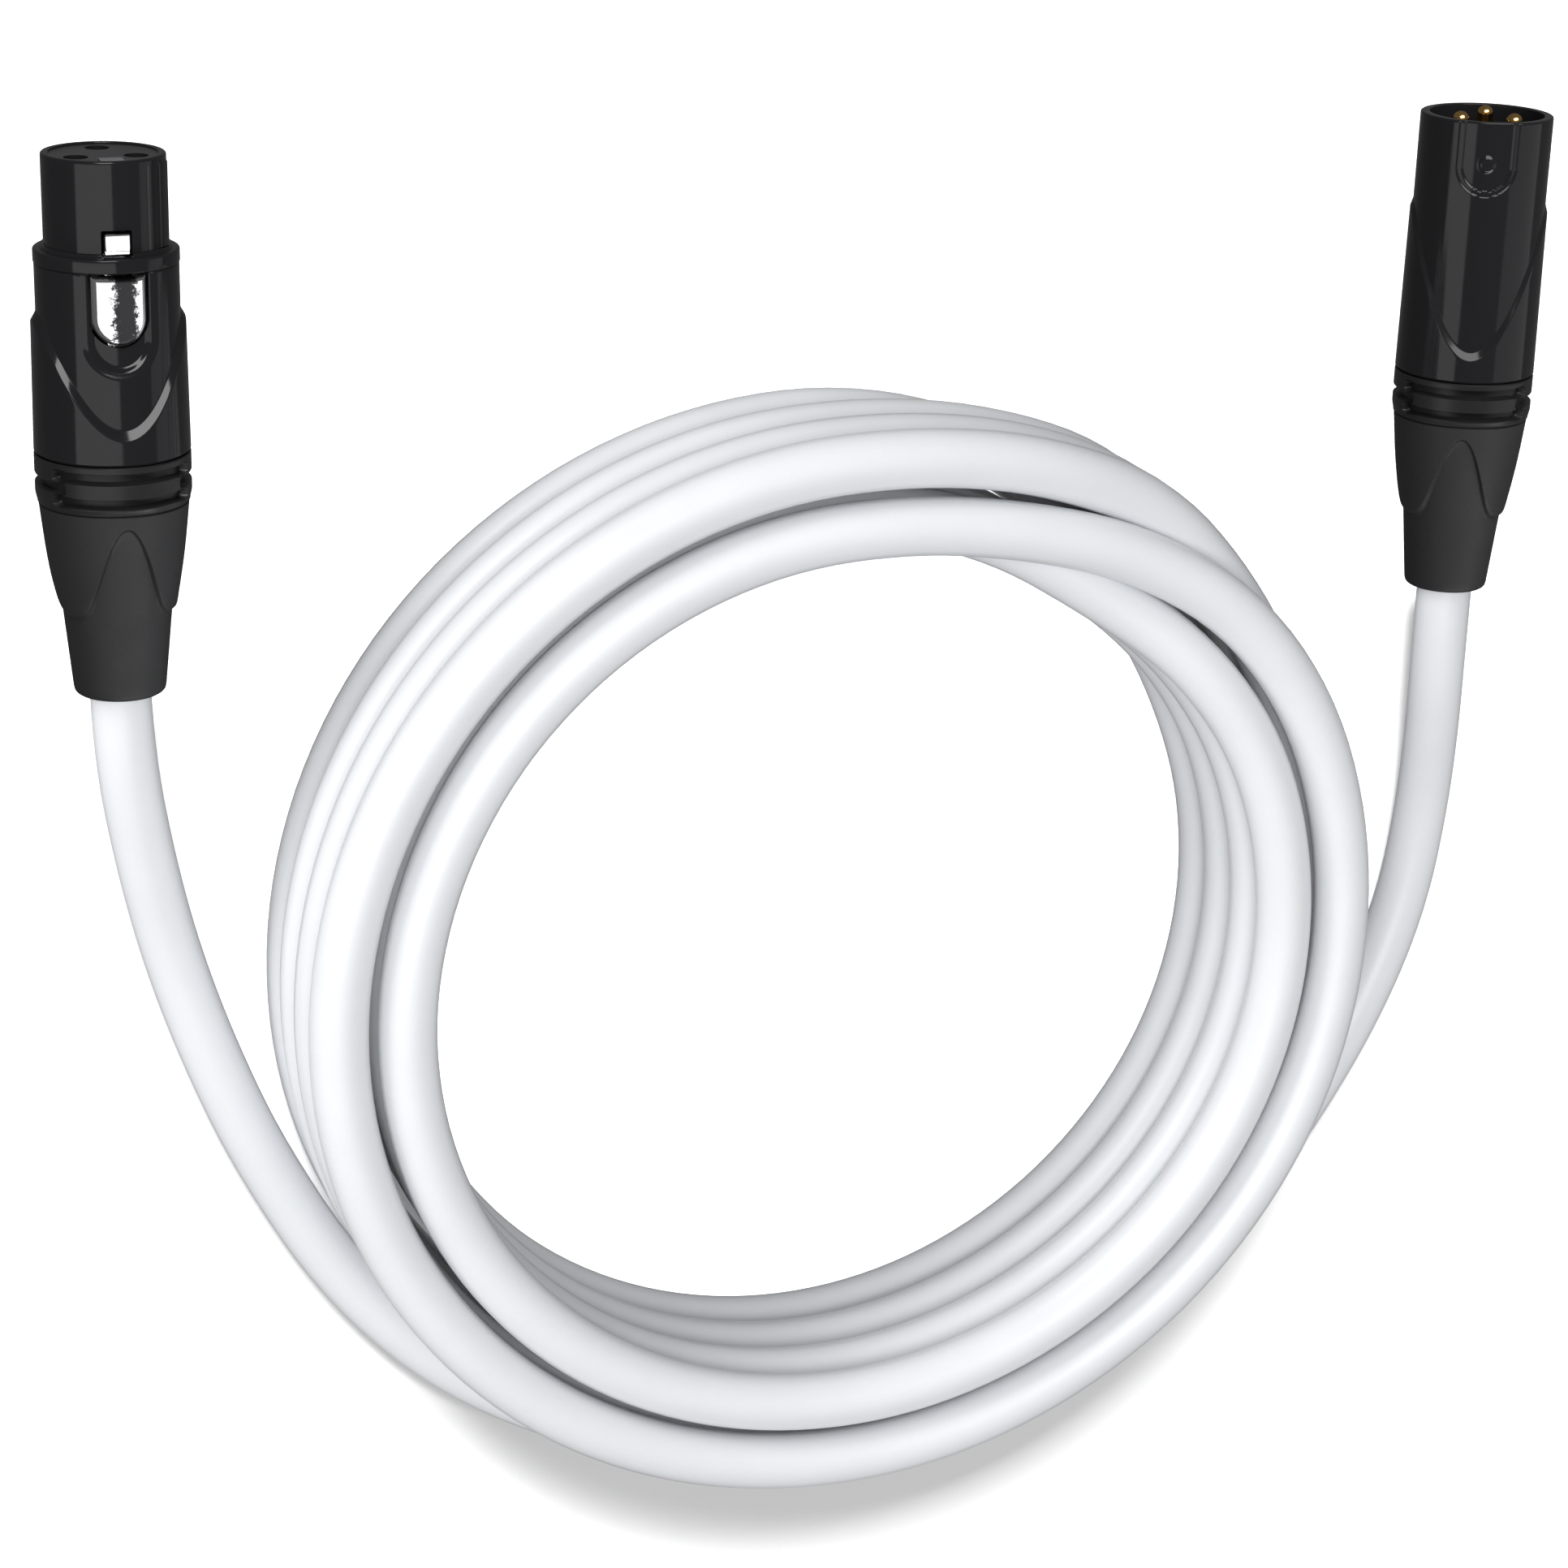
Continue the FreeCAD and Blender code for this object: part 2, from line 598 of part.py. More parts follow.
MALE_TAIL = [
    (99.9, 31.6, 10.15), (99.9, 19.8, 10.15), (101.7, 7.0, 7.3), (102.8, -6.5, 4.5),
    (101.2, -20.5, 4.15), (97.0, -34.0, 4.15), (90.0, -48.5, 4.1), (78.6, -66.0, 4.1),
    (64.1, -80.4, 4.1), (47.6, -90.2, 4.1), (29.4, -94.8, 4.1), (11.3, -94.7, 4.1),
    (-5.4, -91.4, 4.1), (-19.4, -86.4, 4.1),
]


def route_wire(points):
    """Straight runs joined by tangent arcs; returns the wire and its radii."""
    spots = [Vector(*point) for point in points]
    edges = []
    radii = []
    last = spots[0]
    for before, corner, after in zip(spots, spots[1:], spots[2:]):
        back = (before - corner).normalize()
        ahead = (after - corner).normalize()
        turn = math.pi - back.getAngle(ahead)
        reach = 0.45 * min((corner - before).Length, (after - corner).Length)
        radius = reach / math.tan(turn / 2)
        start = corner + back * reach
        end = corner + ahead * reach
        inward = (back + ahead).normalize()
        middle = corner + inward * (radius / math.cos(turn / 2) - radius)
        edges.append(Part.LineSegment(last, start).toShape())
        edges.append(Part.Arc(start, middle, end).toShape())
        radii.append(radius)
        last = end
    edges.append(Part.LineSegment(last, spots[-1]).toShape())
    return Part.Wire(edges), radii


def tail(points, label):
    """A round tube along a route, with its volume compared with section times length."""
    wire, radii = route_wire(points)
    start = Vector(*points[0])
    heading = Vector(*points[1]) - start
    radius = size("cable_radius")
    ring = Part.Wire([Part.makeCircle(radius, start, heading)])
    tube = wire.makePipeShell([ring], True, False)
    expected = math.pi * radius ** 2 * wire.Length
    print("%s: length %.1f mm, radii %.0f to %.0f mm, volume ratio %.4f"
          % (label, wire.Length, min(radii), max(radii), tube.Volume / expected))
    return node(solid(label + "_tube", tube), label)


def coil():
    """The closed solid of the wound turns: two layers of four."""
    radius = size("cable_radius")
    tall = 2 * radius + (size("coil_levels") - 1) * size("coil_pitch")
    centre = Vector(0, size("coil_centre_y"), 0)
    outside = Part.makeCylinder(size("coil_outer_radius") + radius, tall, centre)
    inside = Part.makeCylinder(size("coil_inner_radius") - radius, tall, centre)
    ring = outside.cut(inside)
    rims = [edge for edge in ring.Edges if isinstance(edge.Curve, Part.Circle)]
    return node(solid("coil_ring", ring.makeFillet(size("coil_edge_radius"), rims)), "cable_coil")


# ---------------------------------------------------------------- assembly

def main():
    for kind, placement in (("female", FEMALE), ("male", MALE)):
        boot(kind, placement)
        gland_ring(kind, placement)
        thread_sleeve(kind, placement)
        chuck(kind, placement)
        cable_end(kind, placement)
        wires(kind, placement)
    female_shell()
    female_insert()
    female_contacts()
    latch_lever()
    latch_pivot()
    latch_spring()
    ground_spring("female", "[body_bore]", "[female_spring_low]", FEMALE)
    male_shell()
    male_insert()
    male_pins()
    ground_spring("male", "[body_bore]", "[male_spring_low]", MALE)
    tail(FEMALE_TAIL, "cable_tail_female")
    coil()
    tail(MALE_TAIL, "cable_tail_male")
    DOC.recompute()
    for thing in DOC.Objects:
        if "Invalid" in thing.State or "Error" in thing.State:
            raise RuntimeError("failed: %s %s" % (thing.Name, thing.State))
    for thing in NODES:
        if thing.Shape.isNull() or not thing.Shape.isValid():
            raise RuntimeError("bad shape: %s" % thing.Label)
    os.makedirs("parts", exist_ok=True)
    for thing in NODES:
        thing.Shape.exportStep("parts/%s.step" % thing.Label)
    print("nodes", len(NODES))


main()
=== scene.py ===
"""Looks of a coiled microphone cable with a female and a male three-pole connector.

The frame is in metres, +Z up, with the cable lying on the floor. Connector outlines are in
millimetres: a turn round the axis from the latch side, a radius, and a station along the axis
from the boot's cable exit to the mating face.
"""

import json
import math

import bpy
from bpy.props import FloatProperty, FloatVectorProperty, IntProperty, PointerProperty
from mathutils import Matrix, Vector

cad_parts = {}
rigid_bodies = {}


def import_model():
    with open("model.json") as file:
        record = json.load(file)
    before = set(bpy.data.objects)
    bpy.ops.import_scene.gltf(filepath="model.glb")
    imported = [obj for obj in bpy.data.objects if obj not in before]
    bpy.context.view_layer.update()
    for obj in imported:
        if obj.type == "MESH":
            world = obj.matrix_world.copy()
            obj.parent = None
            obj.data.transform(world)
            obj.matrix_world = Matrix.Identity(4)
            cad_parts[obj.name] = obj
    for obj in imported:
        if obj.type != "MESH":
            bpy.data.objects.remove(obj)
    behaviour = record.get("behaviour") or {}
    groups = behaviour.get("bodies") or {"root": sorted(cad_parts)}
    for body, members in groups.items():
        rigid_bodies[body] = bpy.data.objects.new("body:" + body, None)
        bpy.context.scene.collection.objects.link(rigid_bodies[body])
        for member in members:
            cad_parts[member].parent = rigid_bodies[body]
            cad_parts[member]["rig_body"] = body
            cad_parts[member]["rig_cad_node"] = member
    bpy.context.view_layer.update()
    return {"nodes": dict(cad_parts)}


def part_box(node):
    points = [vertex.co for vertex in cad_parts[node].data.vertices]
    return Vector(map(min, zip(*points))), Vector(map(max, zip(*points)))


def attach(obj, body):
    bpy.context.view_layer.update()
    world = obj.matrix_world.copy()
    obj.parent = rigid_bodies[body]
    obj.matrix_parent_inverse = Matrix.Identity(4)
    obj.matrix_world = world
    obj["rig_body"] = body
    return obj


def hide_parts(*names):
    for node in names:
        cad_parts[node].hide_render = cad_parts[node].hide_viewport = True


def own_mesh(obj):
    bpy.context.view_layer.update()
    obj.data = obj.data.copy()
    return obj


bl_info = {
    "name": "Coiled microphone cable",
    "version": (1, 0, 0),
    "blender": (4, 5, 0),
    "location": "View3D > Sidebar > Cable",
    "description": "Builds the visible pieces of a coiled microphone cable round its frame",
    "category": "Object",
}

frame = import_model()

MM = 0.001
FULL_TURN = 2 * math.pi

# Stations along a connector, in mm from the boot's cable exit
BOOT_END = 26.2
PETAL_TIP = 11.7
ARCH_APEX = 24.3
GLAND_END = 32.8
SHELL_LOW = GLAND_END + 0.05
SLEEVE_LOW = 36.8
COLLAR_LOW = 57.6
COLLAR_TOP = 59.4
FEMALE_FACE = 71.5
INSERT_FACE = 71.2
MALE_RIM = 70.6
TAB_LOW = 48.3
TAB_TOP = 57.2
CATCH_LOW = 59.75
CATCH_TOP = 62.5
RECESS_LOW = 44.3
PANEL_LOW = 59.9
PIVOT_STATION = 46.0

# Radii about a connector's axis, in mm
SLEEVE_RADIUS = 10.1
SLEEVE_TIP_RADIUS = 9.85
SLEEVE_HALF_WIDTH = 10.3
FEMALE_BODY = 9.2
COLLAR_RADIUS = 9.3
NOSE_RADIUS = 7.9
NOSE_BORE = 6.9
BODY_BORE = 8.0
MALE_BODY = 9.5
MALE_BORE = 8.2
THREAD_RADIUS = 7.95
CABLE_HOLE = 4.15
TAIL_FOOT = 6.0
TAIL_WAIST = 7.15
TAIL_HEAD = 9.3
PETAL_HEAD = 9.7
CUT_FROM = 5.0
CUT_TO = 12.0

# Places across a connector, in mm
CONTACTS = ((3.81, 2.03), (-3.81, 2.03), (0.0, -4.318))
LATCH_WIDTH = 3.2
LATCH_GAP = 0.35
TAB_HALF = 3.5

# Routes of the two free ends, from each boot to the coil, in metres
FEMALE_FREE_END = [
    (-0.0999, 0.0316, 0.01015), (-0.0997, 0.0225, 0.01015), (-0.0970, 0.0070, 0.0074),
    (-0.0933, -0.0085, 0.0044), (-0.0884, -0.0240, 0.0041), (-0.0814, -0.0415, 0.0041),
    (-0.0694, -0.0630, 0.0041), (-0.0538, -0.0800, 0.0041), (-0.0346, -0.0917, 0.0041),
    (-0.0177, -0.0971, 0.0052), (-0.0030, -0.0989, 0.0090), (0.0133, -0.0982, 0.0128),
    (0.0299, -0.0939, 0.0137), (0.0458, -0.0859, 0.0137), (0.0593, -0.0754, 0.0135),
    (0.0707, -0.0617, 0.0104), (0.0777, -0.0470, 0.0062), (0.0810, -0.0312, 0.0041),
    (0.0799, -0.0140, 0.0041), (0.0753, 0.0020, 0.0041),
]
MALE_FREE_END = [
    (0.0999, 0.0316, 0.01015), (0.0999, 0.0198, 0.01015), (0.1017, 0.0070, 0.0073),
    (0.1028, -0.0065, 0.0045), (0.1012, -0.0205, 0.00415), (0.0970, -0.0340, 0.00415),
    (0.0900, -0.0485, 0.0041), (0.0786, -0.0660, 0.0041), (0.0641, -0.0804, 0.0041),
    (0.0476, -0.0902, 0.0041), (0.0294, -0.0948, 0.0041), (0.0113, -0.0947, 0.0041),
    (-0.0054, -0.0914, 0.0041), (-0.0194, -0.0864, 0.0041),
]


# ------------------------------------------------------------------ settings

def metres(name, description, default):
    return FloatProperty(name=name, description=description, default=default, unit="LENGTH")


def millimetres(name, description, default):
    return FloatProperty(name=name, description=description + ", in mm", default=default)


def turned(name, description, degrees):
    return FloatProperty(name=name, description=description, default=math.radians(degrees), subtype="ANGLE")


def whole(name, description, default, least):
    return IntProperty(name=name, description=description, default=default, min=least)


def tint(name, description, default):
    return FloatVectorProperty(name=name, description=description, default=default, subtype="COLOR")


class CableSettings(bpy.types.PropertyGroup):
    diameter: metres("Diameter", "Outside diameter of the jacket", 0.0082)
    length: metres("Length", "Cable between the two boots", 3.97)
    outer_layer: metres("Outer layer", "Radius of the outer layer's turns", 0.0756)
    inner_layer: metres("Inner layer", "Radius of the inner layer's turns", 0.0661)
    pitch: metres("Pitch", "Height from one turn to the next", 0.0086)
    levels: whole("Levels", "Turns in each layer", 4, 2)
    turn_points: whole("Points", "Control points in each turn", 24, 12)
    swell: metres("Swell", "How far a turn leans out where it changes level", 0.0025)


class ShellSettings(bpy.types.PropertyGroup):
    female_tip: millimetres("Female sleeve tip", "Station of the sleeve's points", 52.2)
    male_tip: millimetres("Male sleeve tip", "Station of the sleeve's points", 59.3)
    lip: millimetres("Lip", "Length of the sleeve's sloping lip", 1.5)
    recess_depth: millimetres("Recess depth", "Depth of the bowl round the push tab", 0.95)
    male_roll: turned("Male roll", "Turn of the male connector about its axis", -27)


class BootSettings(bpy.types.PropertyGroup):
    petals: whole("Petals", "Petals round the boot", 3, 2)
    step: millimetres("Petal step", "Height of a petal over the tail", 0.55)
    groove_depth: millimetres("Groove depth", "Depth of the grip ring's grooves", 1.1)
    groove_width: millimetres("Groove width", "Width of the grip ring's grooves", 1.2)


class FinishSettings(bpy.types.PropertyGroup):
    jacket: tint("Jacket", "Colour of the cable's jacket", (0.80, 0.815, 0.84))
    shell: tint("Shell", "Colour of the moulded shells", (0.010, 0.010, 0.011))
    rubber: tint("Rubber", "Colour of the boots", (0.017, 0.017, 0.018))
    chrome: tint("Chrome", "Colour of the latch", (0.86, 0.86, 0.87))
    gold: tint("Gold", "Colour of the contacts", (0.83, 0.50, 0.17))


class StageSettings(bpy.types.PropertyGroup):
    distance: metres("Distance", "Camera to target", 0.53806)
    tilt: turned("Tilt", "Camera's lean from straight above", 28.02)
    side: turned("Side", "Direction in which the camera leans, from +X", 134.94)
    roll: turned("Roll", "Camera's roll about its view", 1.72)
    lens: millimetres("Lens", "Focal length on a 36 mm sensor", 85.13)
    target: FloatVectorProperty(name="Target", description="Point the camera looks at", subtype="XYZ",
                                default=(-0.00313, 0.00705, 0.0041))


# ------------------------------------------------------------------ small helpers

def deselect():
    """Leave object mode with nothing selected."""
    if bpy.context.object and bpy.context.object.mode != "OBJECT":
        bpy.ops.object.mode_set(mode="OBJECT")
    bpy.ops.object.select_all(action="DESELECT")


def pick(thing):
    """Make one object the only selected and active one."""
    deselect()
    thing.select_set(True)
    bpy.context.view_layer.objects.active = thing


def smooth(low, high, value):
    """0 up to low, 1 from high on, and an even ease between them."""
    share = min(max((value - low) / (high - low), 0.0), 1.0)
    return share * share * (3 - 2 * share)


def mix(a, b, share):
    return a + (b - a) * share


def spread(low, high, gap):
    """Evenly spaced numbers from low to high, at most gap apart."""
    steps = max(1, math.ceil(abs(high - low) / gap))
    return [mix(low, high, step / steps) for step in range(steps + 1)]


def open_mesh(thing):
    """Edit one mesh with all of it selected."""
    pick(thing)
    bpy.ops.object.mode_set(mode="EDIT")
    bpy.ops.mesh.select_all(action="SELECT")


def close_mesh(thing, angle=math.radians(34)):
    """Merge doubles, turn faces outwards and smooth all but the sharp edges."""
    open_mesh(thing)
    bpy.ops.mesh.remove_doubles(threshold=1e-6)
    bpy.ops.mesh.normals_make_consistent(inside=False)
    bpy.ops.object.mode_set(mode="OBJECT")
    bpy.ops.object.shade_smooth_by_angle(angle=angle)
    return thing


def apply_modifier(thing, kind, **settings):
    """Add one modifier, set it and apply it."""
    pick(thing)
    bpy.ops.object.modifier_add(type=kind)
    modifier = thing.modifiers[-1]
    for key, value in settings.items():
        setattr(modifier, key, value)
    bpy.ops.object.modifier_apply(modifier=modifier.name)


def carve(thing, *cutters):
    """Cut away other objects, which are used up."""
    for cutter in cutters:
        apply_modifier(thing, "BOOLEAN", operation="DIFFERENCE", solver="EXACT", object=cutter)
        bpy.data.objects.remove(cutter)


def join(name, pieces):
    """Make one object of several."""
    pick(pieces[0])
    for piece in pieces[1:]:
        piece.select_set(True)
    bpy.ops.object.join()
    pieces[0].name = name
    return pieces[0]


def finish_piece(thing, slot, body, *nodes):
    """Give a piece its slot's finish and its body, and hide the CAD nodes it stands for."""
    thing.data.materials.clear()
    thing.data.materials.append(FINISHES[slot])
    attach(thing, body)
    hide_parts(*nodes)


# ------------------------------------------------------------------ connector frame

class Connector:
    """Where a connector lies: its axis, its boot's cable exit and its roll."""

    def __init__(self, kind):
        low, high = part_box(kind + "_boot")
        self.exit = Vector(((low.x + high.x) / 2, low.y, (low.z + high.z) / 2))
        self.roll = bpy.context.scene.shell_settings.male_roll if kind == "male" else 0.0

    def spot(self, turn, radius, station):
        """A point from its turn, radius and station."""
        angle = turn + self.roll
        across = Vector((math.sin(angle), 0, math.cos(angle)))
        return self.exit + across * radius * MM + Vector((0, station * MM, 0))

    def lay_point(self, across, along, out):
        """A point given across, along and out on the latch side, in mm."""
        return self.exit + Matrix.Rotation(self.roll, 3, "Y") @ Vector((across, along, out)) * MM

    def lay(self, thing):
        """Lay a mesh drawn across (x), out on the latch side (z) and along (y), in mm."""
        turn = Matrix.Rotation(self.roll, 4, "Y")
        thing.data.transform(Matrix.Translation(self.exit) @ turn @ Matrix.Scale(MM, 4))
        return thing


def even_turns(columns):
    return [FULL_TURN * column / columns for column in range(columns)]


def dense_turns(low, high, fine, coarse):
    """Turns round the axis, in degrees, close together from low to high only."""
    near = spread(low, high, fine)
    far = spread(high, low + 360, coarse)[1:-1]
    return [math.radians(turn) for turn in near + far]


def rounded(corners):
    """An outline of (radius, station, rounding) corners with each rounding as an arc."""
    pieces = 4
    points = []
    count = len(corners)
    for number, (radius, station, rounding) in enumerate(corners):
        corner = Vector((radius, station))
        if not rounding:
            points.append((radius, station))
            continue
        back = (Vector(corners[number - 1][:2]) - corner).normalized()
        ahead = (Vector(corners[(number + 1) % count][:2]) - corner).normalized()
        half = back.angle(ahead) / 2
        centre = corner + (back + ahead).normalized() * (rounding / math.sin(half))
        reach = rounding / math.tan(half)
        start = corner + back * reach - centre
        end = corner + ahead * reach - centre
        first = math.atan2(start.y, start.x)
        sweep = (math.atan2(end.y, end.x) - first + math.pi) % FULL_TURN - math.pi
        for piece in range(pieces + 1):
            angle = first + sweep * piece / pieces
            points.append((centre.x + rounding * math.cos(angle), centre.y + rounding * math.sin(angle)))
    return points


def steady(points):
    """Rings that are the same all the way round."""
    return [lambda turn, point=point: point for point in points]


def roll_skin(name, place, rings, turns):
    """A grid rolled round the axis: each ring gives a radius and a station for a turn."""
    columns, rows = len(turns), len(rings)
    deselect()
    bpy.ops.mesh.primitive_grid_add(x_subdivisions=columns, y_subdivisions=rows - 1, size=2)
    skin = bpy.context.object
    skin.name = name
    for vertex in skin.data.vertices:
        column = round((vertex.co.x + 1) / 2 * columns) % columns
        row = round((vertex.co.y + 1) / 2 * (rows - 1))
        radius, station = rings[row](turns[column])
        vertex.co = place.spot(turns[column], radius, station)
    return close_mesh(skin)


def soft_block(name, place, low, high, edge):
    """A block between two corners (across, along, out) in mm, with rounded edges."""
    deselect()
    bpy.ops.mesh.primitive_cube_add(size=1)
    block = bpy.context.object
    block.name = name
    low, high = Vector(low), Vector(high)
    block.data.transform(Matrix.Translation((low + high) / 2) @ Matrix.Diagonal((*(high - low), 1)))
    open_mesh(block)
    bpy.ops.mesh.bevel(offset=edge, segments=3)
    bpy.ops.object.mode_set(mode="OBJECT")
    return place.lay(block)


def u_cutter(name, place, half, low, high):
    """A slab with a round lower end, out on the latch side, to cut with."""
    deselect()
    bpy.ops.mesh.primitive_circle_add(vertices=96, radius=half, fill_type="NGON")
    slab = bpy.context.object
    slab.name = name
    for vertex in slab.data.vertices:
        along = vertex.co.y
        vertex.co = Vector((vertex.co.x, low + half + along if along < 0 else high, CUT_FROM))
        if along >= 0:
            vertex.co.x = math.copysign(half, vertex.co.x) if abs(vertex.co.x) > 1e-4 else 0.0
    open_mesh(slab)
    bpy.ops.mesh.remove_doubles(threshold=1e-4)
    bpy.ops.mesh.select_all(action="SELECT")
    bpy.ops.mesh.extrude_region_move(TRANSFORM_OT_translate={"value": (0, 0, CUT_TO - CUT_FROM)})
    bpy.ops.mesh.select_all(action="SELECT")
    bpy.ops.mesh.normals_make_consistent(inside=False)
    bpy.ops.object.mode_set(mode="OBJECT")
    return place.lay(slab)


# ------------------------------------------------------------------ finishes

class Socket:
    """One value in a material, with arithmetic."""

    def __init__(self, recipe, socket):
        self.recipe = recipe
        self.socket = socket

    def combine(self, operation, first, second):
        return self.recipe.node("ShaderNodeMath", {"operation": operation}, {0: first, 1: second})

    def __add__(self, other):
        return self.combine("ADD", self, other)

    __radd__ = __add__

    def __sub__(self, other):
        return self.combine("SUBTRACT", self, other)

    def __rsub__(self, other):
        return self.combine("SUBTRACT", other, self)

    def __mul__(self, other):
        return self.combine("MULTIPLY", self, other)

    __rmul__ = __mul__


class Recipe:
    """A material and the nodes that feed its shader."""

    def __init__(self, name, **constants):
        self.material = bpy.data.materials.new(name)
        self.material.use_nodes = True
        self.tree = self.material.node_tree
        self.shader = next(n for n in self.tree.nodes if n.type == "BSDF_PRINCIPLED")
        for key, value in constants.items():
            self.shader.inputs[key.replace("_", " ")].default_value = value
        self.place = self.node("ShaderNodeTexCoord", out="Object")

    def node(self, kind, settings=None, inputs=None, out=0):
        """Add a node: its settings first, then its sockets' values or links."""
        made = self.tree.nodes.new(kind)
        for key, value in (settings or {}).items():
            if key == "stops":
                ramp = made.color_ramp
                while len(ramp.elements) < len(value):
                    ramp.elements.new(0.5)
                for element, (position, colour) in zip(ramp.elements, value):
                    element.position = position
                    element.color = colour
            else:
                setattr(made, key, value)
        for key, value in (inputs or {}).items():
            if isinstance(value, Socket):
                self.tree.links.new(value.socket, made.inputs[key])
            else:
                made.inputs[key].default_value = value
        return Socket(self, made.outputs[out])

    def noise(self, scale, detail, rough=0.55):
        inputs = {"Vector": self.place, "Scale": scale, "Detail": detail, "Roughness": rough}
        return self.node("ShaderNodeTexNoise", None, inputs)

    def ramp(self, value, low, high):
        """Spread the part of a value between low and high over 0 to 1."""
        inputs = {"Value": value, "From Min": low, "From Max": high}
        return self.node("ShaderNodeMapRange", {"clamp": True}, inputs)

    def blend(self, share, first, second):
        """Mix two colours."""
        inputs = {"Factor": share, 6: first, 7: second}
        return self.node("ShaderNodeMix", {"data_type": "RGBA"}, inputs, out=2)

    def feed(self, **values):
        for key, value in values.items():
            self.tree.links.new(value.socket, self.shader.inputs[key.replace("_", " ")])
        return self

    def bump(self, height, depth, strength):
        inputs = {"Strength": strength, "Distance": depth, "Height": height}
        return self.feed(Normal=self.node("ShaderNodeBump", None, inputs))


def shade(colour, factor):
    """A colour made lighter or darker, with alpha."""
    return (*[min(1.0, part * factor) for part in colour[:3]], 1.0)


def jacket_finish(colour):
    """Satin PVC: faint cloudiness, handling marks and the skin of the extrusion."""
    recipe = Recipe("pvc_jacket", Subsurface_Weight=0.06, Subsurface_Scale=0.004, IOR=1.5)
    cloud = recipe.noise(38.0, 4.0)
    marks = recipe.ramp(recipe.noise(420.0, 5.0, rough=0.7), 0.62, 0.80)
    tone = recipe.ramp(cloud, 0.35, 0.70)
    base = recipe.blend(tone, shade(colour, 0.975), shade(colour, 1.02))
    recipe.feed(Base_Color=recipe.blend(marks * 0.10, base, shade(colour, 0.86)))
    recipe.feed(Roughness=0.34 + tone * 0.05 + marks * 0.10)
    skin = recipe.noise(900.0, 2.0) + recipe.noise(2600.0, 2.0) * 0.4
    return recipe.bump(skin, 0.00004, 0.35).material


def shell_finish(colour):
    """Glossy moulded plastic with fine handling haze."""
    recipe = Recipe("shell_plastic", IOR=1.5, Specular_IOR_Level=0.2)
    haze = recipe.ramp(recipe.noise(160.0, 6.0, rough=0.65), 0.45, 0.75)
    dust = recipe.ramp(recipe.noise(2400.0, 2.0), 0.70, 0.80)
    recipe.feed(Base_Color=recipe.blend(dust * 0.25, shade(colour, 1.0), shade(colour, 3.5)))
    recipe.feed(Roughness=0.10 + haze * 0.05 + dust * 0.12)
    return recipe.bump(recipe.noise(700.0, 2.0), 0.00002, 0.08).material


def matt_finish(name, colour, rough, grain, depth):
    """Matt black rubber or plastic with an even fine grain."""
    recipe = Recipe(name, IOR=1.48, Specular_IOR_Level=0.3)
    grains = recipe.noise(grain, 3.0, rough=0.6)
    wear = recipe.ramp(recipe.noise(90.0, 5.0, rough=0.65), 0.52, 0.80)
    recipe.feed(Base_Color=recipe.blend(wear * 0.5, shade(colour, 0.92), shade(colour, 1.5)))
    recipe.feed(Roughness=rough + wear * 0.06 + grains * 0.05)
    return recipe.bump(grains, depth, 0.45).material


def metal_finish(name, colour, rough, tarnish):
    """Plated or drawn metal with a worn, slightly uneven surface."""
    recipe = Recipe(name, Metallic=1.0)
    cloud = recipe.ramp(recipe.noise(500.0, 5.0, rough=0.7), 0.40, 0.75)
    recipe.feed(Base_Color=recipe.blend(cloud, shade(colour, 1.0), shade(colour, tarnish)))
    recipe.feed(Roughness=rough + cloud * 0.08)
    return recipe.bump(recipe.noise(1500.0, 3.0), 0.00001, 0.25).material


def chrome_finish(colour, place):
    """Bright plate with a painted reflection on its push tab: a mottled dark streak along the tab's middle
    stands in for dark surroundings mirrored in it.
    """
    half_painted_reflection = 0.0012
    blur = 0.0004
    aside = 0.0036  # what the noise adds on average, and a little more
    recipe = Recipe("latch_chrome", Metallic=1.0)
    split = recipe.node("ShaderNodeSeparateXYZ", None, {"Vector": recipe.place}, out="X")
    ragged = recipe.noise(1400.0, 6.0, rough=0.85) * 0.0048 + recipe.noise(260.0, 2.0) * 0.0012
    across = split + ragged - (place.exit.x + aside)
    near = recipe.node("ShaderNodeMath", {"operation": "ABSOLUTE"}, {0: across})
    # Painted reflection: the mottled dark streak is colour standing in for dark surroundings mirrored in the
    # tab
    painted_reflection = 1 - recipe.ramp(near, half_painted_reflection, half_painted_reflection + blur)
    along = recipe.node("ShaderNodeSeparateXYZ", None, {"Vector": recipe.place}, out="Y")
    tab_top = place.spot(0, 0, TAB_TOP).y
    dark = painted_reflection * (1 - recipe.ramp(along, tab_top, tab_top + MM))
    recipe.feed(Base_Color=recipe.blend(dark, shade(colour, 1.0), (0.035, 0.035, 0.037, 1.0)))
    recipe.feed(Roughness=0.16 + dark * 0.25)
    return recipe.bump(recipe.noise(1800.0, 3.0), 0.00001, 0.2).material


FINISHES = {}


